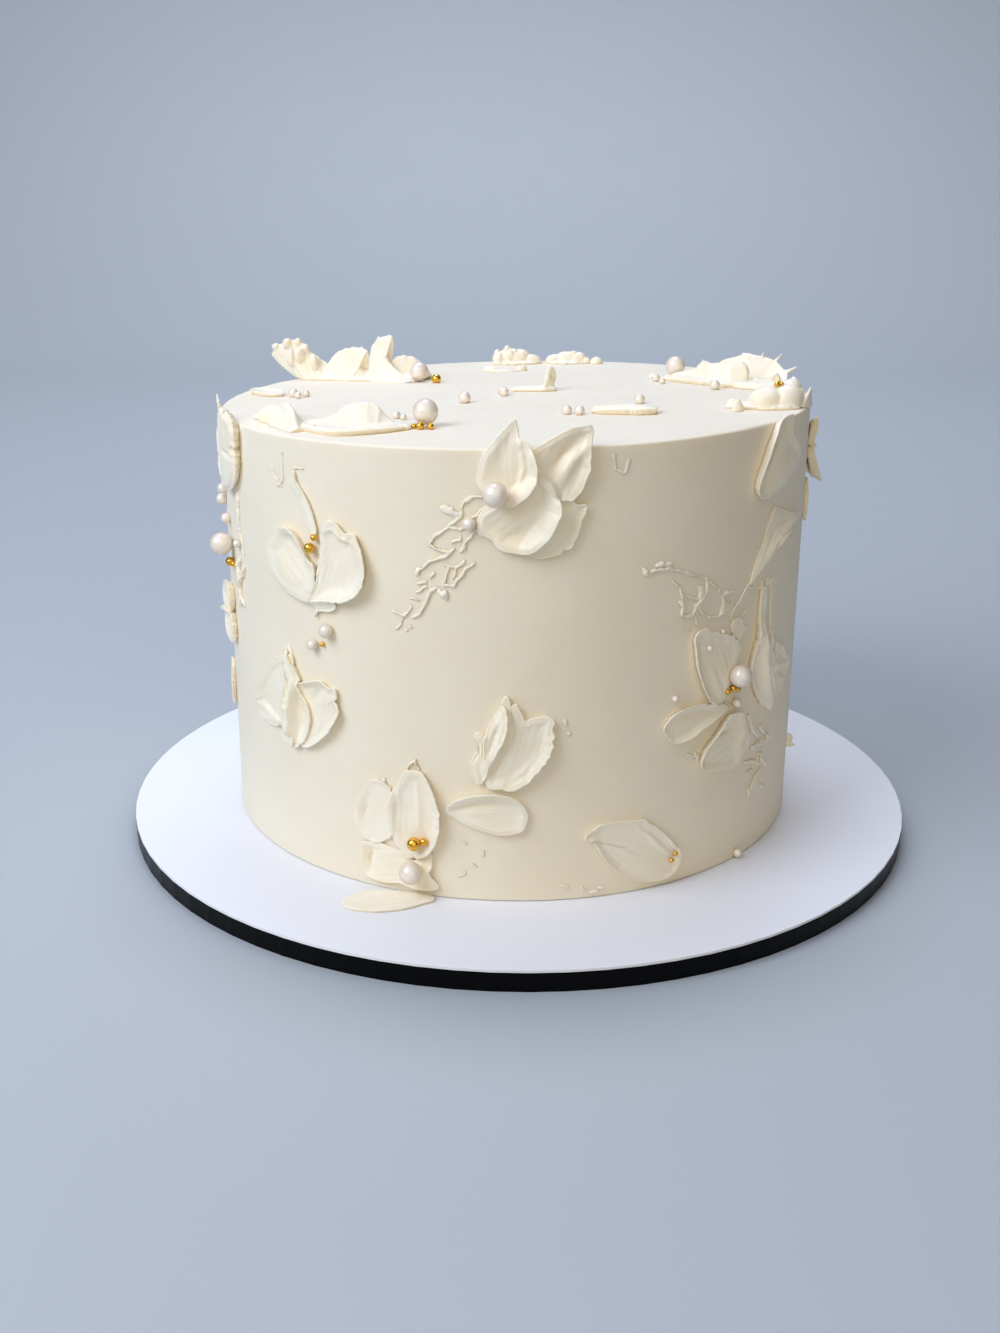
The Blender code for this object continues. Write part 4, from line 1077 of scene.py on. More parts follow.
BASE_FLOWER = (
    Stroke("base_petal_low", (
        (-51.2, 14.6, 0.8), (-51.4, 10, 0.9), (-49.8, 4.2, 0.9), (-44, 2.6, 0.6), (-38, 3.4, 0.6),
        (-33, 2.4, 0.8), (-28.6, 2.6, 0.6), (-27.2, 5.2, 0.5), (-30, 10, 0.4), (-37, 13.8, 0.3),
        (-44, 15.6, 0.4), (-48.6, 15.4, 0.6)), 2.2, pad=0.9, ragged=0.15, pull=190,
        creases=(Crease(((-48.6, 5.5), (-48.9, 9), (-48, 13)), -0.6, 1.4),)),
    Stroke("base_petal_small", (
        (-27.6, 15.4, 0.7), (-27.3, 11, 0.9), (-28, 8.4, 0.9), (-25.2, 4.2, 0.8), (-27.6, 3, 0.8),
        (-31, 3.6, 0.6), (-33.5, 9, 0.2), (-30.8, 13.8, 0.3)), 1.6, pad=1, ragged=0.22, pull=270),
    Stroke("base_petal_left", (
        (-53.9, 24, 0.5), (-52.6, 29, 0.5), (-50.1, 33, 0.6), (-47.5, 36.6, 0.8), (-44, 37.4, 1),
        (-41.6, 36, 0.9), (-40, 33, 0.4), (-39.8, 26, 0.3), (-40.5, 20, 0.3), (-44.5, 16.6, 0.4),
        (-50, 16.6, 0.5), (-53.1, 19.4, 0.5)), 2, pad=0.9, ragged=0.2, pull=115,
        creases=(Crease(((-51.2, 20), (-51, 25), (-48.5, 31)), -0.45, 1.6),)),
    Stroke("base_petal_tall", (
        (-40.9, 28, 0.9), (-40.3, 32, 0.9), (-38.8, 36, 0.9), (-36.6, 39.6, 0.9), (-35.2, 42, 1),
        (-32.8, 42.4, 0.9), (-29.9, 42.2, 1), (-27.5, 38.6, 1.6), (-25.4, 34.4, 2.1), (-24.2, 29.5, 2.4),
        (-24.3, 24, 2.4), (-25.8, 19, 2), (-28.4, 15.4, 1.4), (-31, 13.8, 0.8), (-35, 13.3, 0.6),
        (-38.2, 16, 0.7), (-40.3, 21.5, 0.8)), 3.6, pad=1.2, ragged=0.2, pull=90,
        creases=(Crease(((-31.2, 24), (-31, 31), (-31.8, 38)), 0.4, 1),
                 Crease(((-34.6, 19), (-35.2, 27), (-34.2, 36)), -0.4, 2.6))),
)
SHELL_FLOWER = (
    Stroke("shell_petal", (
        (-10, 41, 0.8), (-9, 38.9, 0.9), (-6, 38.8, 1.1), (-2.5, 38.6, 1.3), (0.6, 39.9, 1.5),
        (2.6, 41.6, 1.6), (5, 45, 1.8), (7.6, 48.5, 1.8), (9.1, 52, 1.7), (10, 56.5, 1.3),
        (9.8, 60, 0.9), (8.4, 62.2, 0.7), (5.2, 61.8, 0.7), (3.2, 61.4, 0.7), (1.2, 60.8, 0.6),
        (-0.2, 63.5, 0.7), (-1.2, 66.2, 0.9), (-2.6, 65.4, 0.7), (-3.8, 68.4, 0.6), (-5.2, 66.8, 0.5),
        (-5.5, 61, 0.4), (-7, 54, 0.4), (-10, 48, 0.4)), 3.6, pad=1.2, ragged=0.32, pull=75,
        creases=(Crease(((-8.3, 43), (-6, 50), (-4, 57)), -0.7, 1.5),
                 Crease(((-3, 41.5), (1.5, 45), (5, 50.5)), 0.35, 0.9))),
    Stroke("shell_scrap", (
        (-14.6, 47, 0.4), (-13, 49.6, 0.5), (-12.6, 53, 0.4), (-13.8, 54.6, 0.4), (-12.6, 56.6, 0.4),
        (-10.8, 55.4, 0.3), (-10.6, 50.5, 0.2), (-9.8, 46, 0.2), (-10.4, 42, 0.4), (-12.4, 40.2, 0.5),
        (-14.3, 42.6, 0.5)), 1.4, pad=1.7, ragged=0.2, pull=95),
    Stroke("shell_fold", (
        (-5.2, 65.8, 0.5), (-7.5, 62.4, 0.6), (-9.6, 58.6, 0.7), (-10.6, 54, 0.8), (-10.4, 49, 0.9),
        (-9.8, 44.5, 0.6), (-9, 46.8, 0.9), (-7.2, 50.8, 1.5), (-5, 55, 1.9), (-3.9, 59.5, 1.9),
        (-4.1, 63.5, 1.4)), 2.2, pad=1.7, crown=0.8, ragged=0.16, pull=72,
        creases=(Crease(((-9.2, 49), (-8.2, 54.5), (-6.2, 60)), -0.5, 0.6),)),
)
OVAL_PETAL = (
    Stroke("oval_petal", (
        (-22.1, 30.4, 1.4), (-20.8, 33, 1.7), (-17, 35.5, 2), (-12, 36.8, 2.1), (-7, 37.2, 2.1),
        (-2.2, 36, 1.6), (0.9, 33.2, 1), (2.3, 30, 0.8), (1.9, 27, 0.8), (0, 24.4, 0.9),
        (-5.5, 23.3, 0.7), (-9, 24, 0.5), (-13, 25, 0.5), (-18, 27.2, 0.4), (-20.8, 29.2, 0.5)),
        3.8, pad=1, ragged=0.18, pull=0,
        creases=(Crease(((-19.5, 31.2), (-13, 33), (-6, 33.6)), -0.5, 1.2),)),
)
TILTED_PETAL = (
    Stroke("tilted_petal", (
        (20.7, 20.5, 1.2), (20.8, 22.6, 1.2), (23.4, 24, 1), (25.3, 25.4, 1), (30, 25.6, 0.9),
        (36, 25.2, 0.9), (39.9, 25.1, 1), (41.2, 23.7, 0.7), (45, 20.6, 0.7), (49, 16.8, 0.8),
        (52, 13.1, 0.9), (53.7, 11.6, 1), (54, 9.4, 1), (53, 5.6, 1.1), (50, 3.3, 0.9),
        (47.5, 2.6, 0.7), (42, 3, 0.6), (37, 4.8, 0.8), (33, 7.2, 1), (29, 11, 1.2),
        (26, 15, 1.3), (23.8, 19, 1.2), (22.6, 20.4, 0.9)), 2.2, pad=0.9, ragged=0.14, pull=-25,
        creases=(Crease(((38, 22), (42, 19), (46, 14.5), (49.5, 11.5)), 0.55, 0.9),
                 Crease(((27, 18), (33, 15.5), (38, 12.5)), 0.3, 0.6),
                 Crease(((34, 8.6), (41, 6.4), (49, 5.6)), 0.4, 1.6))),
)
RIGHT_FLOWER = (
    Stroke("right_petal_outer", (
        (95.6, 76, 0.6), (97.2, 72.2, 0.8), (100, 70.4, 1), (105, 68, 1.1), (109, 63.6, 1.1),
        (111.8, 61, 0.9), (109.2, 57, 0.9), (106, 53.6, 0.9), (102, 52, 0.8), (98, 52.4, 0.6),
        (96.2, 56, 0.4), (96.4, 62, 0.3), (95.4, 69, 0.4)), 2.4, pad=1.1, ragged=0.3, pull=0,
        creases=(Crease(((98, 63), (104, 62.4), (111, 61)), 0.9, 1.3),
                 Crease(((97.5, 58), (102, 58.6), (107.5, 56.5)), 0.7, 1),
                 Crease(((97.5, 69.5), (98.5, 65.5), (98, 62)), -0.6, 1.2))),
    Stroke("right_petal_side", (
        (45.6, 54.7, 1), (48, 57.6, 1.1), (52, 59.6, 1.3), (58, 59.9, 1.3), (64, 58.8, 1.2),
        (69.5, 57.6, 0.9), (71.5, 55.6, 0.6), (66, 54, 1.4), (60, 51.8, 1.6), (55, 49.6, 1.5),
        (50, 49, 1.2), (47.8, 50.5, 1), (46, 53, 0.9)), 2.2, pad=0.8, ragged=0.14, pull=185),
    Stroke("right_petal_lower", (
        (60.2, 40.2, 1.7), (61.6, 44.5, 2), (66, 48.6, 2.2), (70, 52.1, 2), (73, 53.7, 1.6),
        (78.6, 52.6, 1.2), (80.6, 49.5, 0.8), (81.6, 46, 0.9), (83.4, 42.4, 1), (82.5, 39.5, 1.1),
        (80, 38, 1.2), (76.5, 35.2, 1.4), (70, 35.2, 1.2), (64, 36.8, 1.1), (61.3, 37.8, 1.1)),
        2.8, pad=0.9, ragged=0.16, pull=190,
        creases=(Crease(((64, 43.5), (69.5, 46.6), (77, 48.6)), -0.5, 1.5),
                 Crease(((78, 40), (80, 43.5), (79.5, 47.5)), 0.9, 2.2))),
    Stroke("right_petal_cupped", (
        (55.4, 79.6, 1.7), (56.4, 73, 1.9), (57.6, 69.4, 2), (60.4, 63.6, 1.9), (63.4, 60, 1.5),
        (66, 58.9, 1.1), (70, 59.6, 0.6), (72.2, 66, 0.5), (74, 70, 0.6), (75.5, 74.4, 0.9),
        (73.6, 78, 1.1), (71, 79.9, 0.9), (67, 81.6, 0.7), (62, 83, 0.6), (60.2, 84.6, 0.9),
        (56.6, 83.6, 0.9), (55.5, 81.6, 0.9)), 2.8, pad=1, ragged=0.2, pull=115,
        creases=(Crease(((60, 74), (62.5, 66.5), (66, 61)), -0.5, 1.5),
                 Crease(((63.5, 70), (65.5, 65.5), (68, 61.5)), 0.5, 1.1))),
    Stroke("right_leaf", (
        (73, 84.6, 0.4), (75.6, 84.8, 0.5), (77, 82.4, 0.6), (79, 80.6, 0.4), (77, 79.4, 0.5),
        (75.6, 76.6, 0.3), (74.4, 78.6, 0.4), (72.6, 80.2, 0.4), (71.6, 83, 0.4)), 1.4, pad=1.1,
        ragged=0.2, pull=60, own_node=False),
    Stroke("right_petal_spear", (
        (86.6, 92, 0.6), (85.9, 87, 0.8), (85.6, 80, 1), (84.8, 75, 1.2), (82.6, 69.6, 1.4),
        (82.2, 66, 1.2), (84.8, 60, 0.9), (88, 55.2, 0.8), (92, 51.4, 0.7), (98.8, 47.8, 0.4),
        (98.8, 47.8, 0.4), (96.6, 53, 0.8), (96.2, 60, 1.1), (94.2, 65, 1.1), (91.2, 70.2, 1.1),
        (89.2, 75, 1.1), (88.7, 80, 1), (88.5, 87, 0.9), (89, 92, 0.6)), 2.8, pad=1.2,
        ragged=0.2, pull=105,
        creases=(Crease(((87.2, 78), (89, 68), (91, 60), (96, 51)), 2.2, 2.4),)),
)
WEDGE_STROKE = (
    Stroke("wedge_stroke", (
        (91.4, 117.3, 0.3), (95, 116.6, 0.3), (100, 115, 0.5), (104.5, 113.2, 0.9), (107.5, 112.5, 1.2),
        (111.5, 112.1, 1.3), (110.5, 111.1, 1.6), (106.5, 111.1, 2.2), (101.5, 110.1, 2.6), (97, 107.8, 2.6),
        (93, 105.6, 2.4), (89, 103, 2), (85, 99.6, 1.5), (82, 96.8, 0.9), (80, 95, 0.4),
        (81, 98.2, 0.2), (83, 102.2, 0.2), (86, 106.6, 0.2), (88.5, 111.4, 0.2)), 6.5, pad=0.8,
        ragged=0.18, pull=40),
)
RIM_PETAL = (
    Stroke("rim_petal_right", (
        (93, 145.2, 1), (89.3, 143.8, 1.6), (85, 138.6, 2.2), (81.6, 132.6, 2.3), (79.2, 128, 2.2),
        (79.2, 124.8, 1.8), (81, 122.4, 1.5), (84, 121.8, 1.2), (88, 122.9, 0.9), (93, 124.3, 0.8),
        (99, 126.2, 0.8), (104, 129, 0.9), (107.6, 131.6, 1), (106.8, 134.6, 1), (103.5, 137, 1),
        (101.2, 138.6, 0.9), (100.2, 141.2, 0.9), (100, 145.2, 0.8)), 2.9, pad=1, ragged=0.16, pull=235,
        creases=(Crease(((86, 124), (95, 127.4), (104, 132.5)), 1.1, 3.4),
                 Crease(((84.5, 128), (89.5, 135), (95, 141.5)), -0.7, 2.4))),
)
LEFT_STROKES = (
    Stroke("left_rim_stroke", (
        (-113.5, 119, 0.6), (-119.6, 118.6, 1), (-123, 122, 1.4), (-123.6, 130, 1.2),
        (-123.2, 138, 1), (-121.4, 143.6, 0.6), (-115.6, 144, 0.5), (-109.8, 142.4, 0.8),
        (-106.4, 139.6, 1.2), (-106.6, 131, 1), (-108.2, 124, 0.8)), 4.2, pad=2.7, crown=1.5, ragged=0.5,
        undercut=0.75, creases=(Crease(((-120.4, 120.6), (-120.6, 130), (-119.4, 142)), -0.9, 1.3),
                                Crease(((-115.4, 131.4), (-108, 130.4)), -0.5, 0.8))),
    Stroke("left_petal_upper", blade((-128, 73.5), (-130.5, 84), 5.6, (0.4, 0.4), (1.8, 1.2, 1.4, 0.8)),
           2.5, pad=1.7, ragged=0.35),
    Stroke("left_petal_lower", blade((-124.5, 64), (-130, 75.5), 4.6, (0.5, 0.45), (1.8, 1, 1.4, 0.8)),
           2.5, pad=1.6, ragged=0.35),
    Stroke("left_petal_low", blade((-146, 34.5), (-142.5, 51.5), 5.6, (0.5, 0.45), (0.8, 0.9, 0.6, 0.6)),
           2.5, pad=1),
)
FAR_RIGHT_FLOWER = (
    Stroke("far_right_petal_thin", blade((143, 117.5), (140, 103.5), 5, (0.5, 0.5), (0.6, 0.9, 0.7, 0.4)),
           2.2, pad=0.9),
    Stroke("far_right_petal_back", blade((148.5, 128.5), (167, 121), 7.6, (0.5, 0.45), (0.8, 2.2, 1.4, 0.6)),
           3.5, pad=1.1),
    Stroke("far_right_petal_point", blade((144.5, 129.5), (138.5, 139), 4.6, (0.5, 0.9), (1, 0.8, 0.6, 0.4)),
           2, pad=1, lift=1.8, pull=122),
    Stroke("far_right_petal_spoon", blade((144, 131), (140, 117.5), 5.8, (0.6, 0.4), (0.9, 1.4, 1.6, 0.5)),
           2.6, pad=1.1, lift=2.6, pull=253),
)
BACK_FLOWER = (
    Stroke("back_petal_low", blade((wall_at(62), 88), (wall_at(51), 68), 9, (0.55, 0.4),
                                   (2.2, 0.6, 1.4, 0.8), 2), 3.8, pad=1.1, pull=226),
    Stroke("back_petal_side", blade((wall_at(64), 92), (wall_at(78), 82), 8.2, (0.5, 0.45),
                                    (0.6, 1.8, 1, 0.6), -1), 3, pad=1.1, pull=-22),
    Stroke("back_petal_high", blade((wall_at(62.5), 90), (wall_at(66), 119), 9, (0.6, 0.6),
                                    (2.4, 0.8, 0.6, 0.8)), 4, pad=1.2, pull=78),
)
BACK_LEAVES = (
    Stroke("back_leaf_rim", blade((wall_at(118), 124), (wall_at(128), 147), 8.2, (0.5, 0.75),
                                  (0.6, 2.2, 0.4, 1.2), 1.5), 3.5, pad=1.1, pull=53),
    Stroke("back_leaf_base", blade((wall_at(128), 30), (wall_at(110), 14), 8.6, (0.5, 0.42),
                                   (0.9, 1.1, 1.2, 0.6), 1), 2.8, pad=1, pull=207),
)
BOARD_PETAL = (
    Stroke("base_petal_on_board", (
        (-26.7, -100.8, 0.3), (-30.7, -103.4, 0.3), (-35.2, -106, 0.3), (-39.8, -107.4, 0.3),
        (-45.3, -108, 0.3), (-51, -106.8, 0.4), (-54.4, -104.4, 0.5), (-53, -98, 0.3),
        (-46, -94, 0.2), (-36, -95, 0.2), (-28, -97.6, 0.2)), 2, pad=1.1, ragged=0.12, pull=190),
)
SMALL_TOP_STROKES = (
    Stroke("top_stroke_front", blade((23.5, -39.5), (44.5, -42), 4.2, (0.5, 0.22), (0.6, 0.8, 0.9, 0.2)),
           2, pad=1.8, crown=1, pull=-7, ragged=0.3),
    Stroke("top_stroke_left", blade((-94, 25), (-82.5, 10.5), 4, (0.7, 0.5), (0.9, 0.9, 0.4, 0.6), -1.5),
           1.8, pad=1.1, pull=-52, ragged=0.3),
)
FRONT_LACE = Lace("front_lace", (
    (((-11.8, 128.8), (-14.3, 128.8), (-16.5, 127.1), (-17.6, 125.4)), 0.6, 0.6),
    (((-9.8, 125.7), (-11.8, 124.9), (-12.6, 123.2), (-14.3, 122.7)), 0.5, 0.5),
    (((-17.6, 125.2), (-18.2, 122.7), (-19.8, 120.7), (-21.5, 119.9)), 0.6, 0.6),
    (((-22.8, 124.6), (-20.4, 124.6), (-18.8, 123)), 0.8, 1.2),
    (((-21.5, 119.6), (-18.2, 118.8), (-16.5, 119.9)), 0.5, 0.5),
    (((-21.5, 119.3), (-24.3, 117.7), (-26.2, 115.4), (-27.3, 113.8), (-23.7, 112.4), (-20.7, 111.8),
      (-19.6, 113.2)), 0.6, 0.5),
    (((-13.4, 119.1), (-14.8, 116.8), (-16.8, 115.4), (-16.8, 113.2), (-17.9, 112.4)), 0.6, 0.5),
    (((-20.1, 115.2), (-18.2, 115.7), (-17.6, 116.8)), 0.5, 0.5),
    (((-20.7, 111.8), (-22.6, 110.7), (-25.4, 109.6), (-28.2, 107.9), (-30.1, 106)), 0.7, 0.6),
    (((-30.2, 106.4), (-30.6, 105.2)), 0.9, 1),
    (((-13.7, 109.1), (-16.2, 107.4), (-18.2, 104.3), (-19.8, 101.8), (-23.2, 101.8)), 0.6, 0.55),
    (((-16.8, 109.3), (-18.7, 107.7), (-20.1, 104.3)), 0.5, 0.5),
    (((-21.2, 107.7), (-22.1, 104.3), (-23.2, 102.4)), 0.5, 0.5),
    (((-22.9, 108.2), (-19.3, 107.7)), 0.4, 0.45),
    (((-23.8, 99.8), (-22.4, 98.8)), 1, 1.3),
    (((-28.4, 102.4), (-31.2, 102.1)), 0.5, 0.5),
    (((-28.2, 101), (-30.1, 99.9), (-31.5, 99.3)), 0.5, 0.5),
    (((-25.9, 105.4), (-26.8, 104.3)), 0.5, 0.5),
    (((-25.4, 101.3), (-26.8, 99.9), (-27.9, 97.1), (-29, 94.9), (-30.1, 92.7), (-32.6, 91.3)), 0.6, 0.55),
    (((-30.4, 97.1), (-32.9, 97.1)), 0.5, 0.5),
    (((-33.2, 94.3), (-34.6, 92.7), (-35.4, 91.6), (-38.7, 92.4)), 0.6, 0.55),
    (((-35.7, 90.7), (-36.5, 88.8), (-37.9, 87.4)), 0.5, 0.5),
    (((-34.8, 87.2), (-34.4, 87)), 0.5, 0.5),
    (((-33.7, 88.4), (-33.3, 88.2)), 0.5, 0.5),
))
RIGHT_LACE = Lace("right_lace", (
    (((37, 105.4), (38.5, 104.6), (41, 105), (45, 105.5), (50, 103.9), (55, 101.9), (59.2, 100.3)),
     0.7, 0.55),
    (((36.8, 105.6), (38.2, 104.2)), 0.9, 0.9),
    (((41.4, 106.2), (43.5, 107), (46, 106.4)), 0.8, 0.7),
    (((47, 101.2), (50, 98.6), (51, 95.6), (51, 92.8), (50.8, 90.2), (52.5, 89.2), (55.2, 89.4)),
     0.6, 0.5),
    (((50, 94), (51.2, 92)), 0.9, 0.9),
    (((55.2, 89.4), (56, 92), (57.6, 93.4), (59.2, 94.6), (60, 97), (59.8, 100.2)), 0.8, 0.7),
    (((51.5, 95.8), (55, 95.2), (57.6, 94)), 0.5, 0.5),
    (((59.8, 100), (62.2, 98.4), (65.5, 96), (67.6, 92), (68, 88.6), (66, 87), (62, 87.4),
      (59, 89.6), (57.2, 91.6), (58.6, 93.2)), 0.6, 0.55),
    (((67.6, 89), (67, 87.6)), 0.9, 0.9),
    (((58, 97), (58.4, 94)), 0.8, 1.3),
    (((56.5, 88.6), (57, 86)), 0.4, 0.4),
    (((53, 85.2), (54.5, 85)), 0.4, 0.4),
    (((67.6, 93.6), (69.6, 94.4), (72.6, 94)), 0.7, 0.7),
    (((68.4, 93), (71, 90.4), (73, 87)), 0.5, 0.5),
    (((80.2, 95.2), (77.2, 92.2), (73.6, 88.6), (71, 85.2)), 0.6, 0.5),
    (((80, 94), (82, 93.4)), 0.5, 0.5),
    (((81, 96), (86, 100.4), (90, 103.8), (95, 106.6), (100, 108.9), (103.5, 109)), 0.9, 0.5),
    (((86.4, 92.4), (88, 94), (90, 92), (91.2, 94.6), (93, 91.6), (94.6, 94)), 0.7, 0.6),
    (((90, 90.6), (92.2, 90)), 0.6, 0.6),
    (((94.4, 91), (94.6, 84), (95.2, 78), (96.2, 73)), 0.6, 0.6),
    (((87.6, 94), (87.4, 90)), 0.8, 0.8),
    (((77, 84.6), (79.6, 87.2)), 0.4, 0.4),
    (((55.8, 43.4), (58.4, 42.6), (60.6, 42)), 0.7, 0.5),
    (((58.8, 44.6), (59.6, 41)), 0.6, 0.5),
    (((84.5, 49.5), (88, 43.5), (91.2, 40.4)), 0.8, 0.8),
    (((92.6, 43.6), (97, 39.6), (102.6, 36.4)), 0.8, 0.9),
    (((88, 37.6), (95, 37.6), (102.4, 36)), 0.8, 0.8),
    (((84.6, 33.4), (89, 32.6), (92.4, 30.4)), 0.7, 0.8),
    (((92.4, 34.2), (94.8, 33.2), (94.6, 30), (92.6, 30.4), (92.4, 34)), 0.7, 0.6),
    (((95, 31.6), (99, 27.4)), 0.7, 0.7),
    (((95.2, 28), (92, 26.4), (89, 23.6), (87.6, 20.6)), 0.7, 0.7),
    (((86, 29), (89.4, 29)), 0.6, 0.7),
    (((86.8, 22.8), (88.6, 21.4)), 0.8, 0.8),
    (((96, 21.6), (99.8, 19.2)), 0.5, 0.6),
    (((71.8, 57.6), (73.6, 56.4)), 0.8, 0.7),
))
LEFT_LACE = Lace("left_lace", (
    (((-113, 95.6), (-114.4, 92.4), (-112.6, 89.4), (-114.2, 86), (-112.8, 82.6), (-114.6, 79.4)), 1.5, 0.6),
    (((-114.4, 92.4), (-117.4, 93.6)), 1.1, 0.5),
    (((-112.6, 89.4), (-109.8, 90.8), (-108.6, 94.2)), 1.1, 0.5),
    (((-114.2, 86), (-117, 85), (-117.8, 81.4)), 1.2, 0.5),
    (((-112.8, 82.6), (-110.4, 80.6)), 1, 0.5),
    (((-112, 118), (-111.6, 111), (-112.2, 105)), 0.9, 0.5),
    (((-112.2, 105), (-110, 102.6), (-108.8, 98)), 0.7, 0.45),
))
CRUMBS = Lace("wall_crumbs", (
    (((-86.6, 131.2), (-85, 128), (-83.4, 126.2), (-81.6, 125.6), (-80.8, 127.4), (-80.6, 136)), 0.45, 0.9),
    (((-75.4, 131.6), (-71, 132.2)), 0.4, 0.5),
    (((26.2, 140.2), (27, 136.4), (29.8, 134.8), (31.2, 138.4)), 0.4, 0.6),
    (((-35, 42.6), (-34.4, 44.4), (-32.6, 45.4), (-32, 44), (-31, 42.8)), 0.9, 0.45),
    (((-42.6, 35.8), (-42.8, 37.6)), 0.8, 0.45),
    (((-32.8, 12.8), (-31.4, 14), (-30.6, 12.6)), 1, 0.5),
    (((13, 5), (15.6, 4.2)), 0.5, 0.6),
    (((20, 4.2), (21, 3.6)), 0.6, 0.7),
    (((25.6, 3.6), (27.6, 3)), 0.5, 0.6),
    (((22.8, 1.6), (25.2, 2.2)), 0.5, 0.6),
    (((-17.4, 19.8), (-16.2, 19.4)), 0.3, 0.4),
    (((-18.6, 7.6), (-16.4, 9.6)), 0.3, 0.35),
    (((-14.2, 12.4), (-13.2, 11.8)), 0.3, 0.35),
    (((-11.2, 15.4), (-11, 17.2)), 0.3, 0.35),
    (((13.6, 60.4), (14.2, 58.8)), 0.5, 0.5),
    (((14.4, 56), (14.8, 55.4)), 0.5, 0.5),
))


# Clusters that stand on the top

Cut = tuple[float, float, float, float, float, float, float]


@dataclass(frozen=True)
class Wave:
    """A crest of buttercream that the knife threw up, in mm on the cake's top.

    Each cut gives the foot's two places, the crest's two places and its height, and
    how far the foot reaches to the right and to the left of the run. hollow is how
    steeply the flanks rise to the crest, and flutes the depth of the folds in them.
    """

    cuts: tuple[Cut, ...]
    thickness: float = 0.9
    hollow: float = 1.5
    flutes: float = 0.0

    def sections(self, share: np.ndarray) -> list[np.ndarray]:
        """Cuts at shares from 0 to 1 of the run, bent smoothly between the given ones."""
        cuts = np.array(self.cuts)
        padded = np.vstack((2 * cuts[0] - cuts[1], cuts, 2 * cuts[-1] - cuts[-2]))
        position = np.clip(share, 0.0, 1.0) * (len(cuts) - 1)
        first = np.minimum(position.astype(int), len(cuts) - 2)
        t = (position - first)[..., None]
        a, b, c, d = (padded[first + shift] for shift in range(4))
        return list(np.moveaxis(between(a, b, c, d, t), -1, 0))

    def build(self, seed: int) -> bpy.types.Object:
        """Loft the flanks from the foot to the crest and close the bottom.

        Args:
            seed: Which unevenness.

        Returns:
            A closed body.
        """
        columns = 12 * (len(self.cuts) - 1)

        def place(x: np.ndarray, y: np.ndarray) -> np.ndarray:
            """Run each grid point up a flank from the foot to the crest."""
            share = (x + 1.0) / 2.0
            foot_u, foot_v, crest_u, crest_v, crest, right, left = self.sections(share)
            next_u, next_v = self.sections(share + 0.01)[:2]
            last_u, last_v = self.sections(share - 0.01)[:2]
            run_u = next_u - last_u
            run_v = next_v - last_v
            size = np.maximum(1e-6, np.hypot(run_u, run_v))
            side_u = -run_v / size
            side_v = run_u / size
            up = np.clip(1.0 - np.abs(y), 0.0, 1.0)
            reach = np.where(y < 0.0, -right, left)
            walk = share * columns
            crest = crest * (1.0 + 0.03 * grain(walk / 4.0, walk * 0.0, seed))
            ripple = self.flutes * grain(walk / 4.6, up * 0.8, seed + 5) * up ** 0.6
            edge = np.sign(y) * self.thickness / 2.0
            rest = 1.0 - up ** 0.85
            u = (foot_u + side_u * reach) * rest + (crest_u + side_u * edge) * (1.0 - rest) + side_u * ripple
            v = (foot_v + side_v * reach) * rest + (crest_v + side_v * edge) * (1.0 - rest) + side_v * ripple
            height = -0.3 + (np.maximum(crest, 0.3) + 0.3) * up ** self.hollow
            return Surface.TOP.points(u, v, height)

        piece = sculpt_grid("wave", columns, 32, place)
        close_holes(piece)
        return piece


@dataclass(frozen=True)
class Curl:
    """A standing sheet that bends over, in mm on the cake's top.

    heading is the bearing it bends towards, bend how far it turns over, sweep how
    far its sides run ahead of its middle and droop how much lower they are. foot is
    how high it starts, foot_width its width there as a share and start_deg its slope.
    """

    place: tuple[float, float]
    heading: float
    height: float
    width: float
    bend: float = 80.0
    sweep: float = 0.4
    droop: float = 0.45
    thickness: float = 1.2
    foot: float = 0.8
    foot_width: float = 0.75
    start_deg: float = 88.0

    def build(self, seed: int) -> bpy.types.Object:
        """Sweep the sheet and give it a thickness."""
        forward = np.array((cos(radians(self.heading)), sin(radians(self.heading))))
        sideways = np.array((-forward[1], forward[0]))
        steps = np.linspace(0.0, 1.0, 41)
        slope = np.radians(self.start_deg - self.bend * (steps[:-1] + 0.0125))
        runs = np.concatenate(((0.0,), np.cumsum(np.cos(slope))))
        rises = np.concatenate(((0.0,), np.cumsum(np.sin(slope))))
        factor = (self.height - self.foot) / rises.max()

        def place(x: np.ndarray, y: np.ndarray) -> np.ndarray:
            """Carry each grid point up and over the curl."""
            share = (y + 1.0) / 2.0 * (1.0 - 0.05 * (0.5 + 0.5 * grain(x * 4.0, x * 0.0, seed)))
            run = np.interp(share, steps, runs) * factor
            rise = np.interp(share, steps, rises) * factor
            scale = 1.0 - self.droop * x * x
            spread = self.foot_width + (1.0 - self.foot_width) * np.minimum(1.0, rise / self.height)
            onward = run * scale + self.sweep * self.width * x * x
            beside = 0.5 * self.width * x * spread
            u = self.place[0] + forward[0] * onward + sideways[0] * beside
            v = self.place[1] + forward[1] * onward + sideways[1] * beside
            return Surface.TOP.points(u, v, GAP + self.foot + rise * scale)

        piece = sculpt_grid("curl", 36, 40, place)
        add_modifier(piece, "SOLIDIFY", thickness=self.thickness * MM, offset=0.0)
        return piece


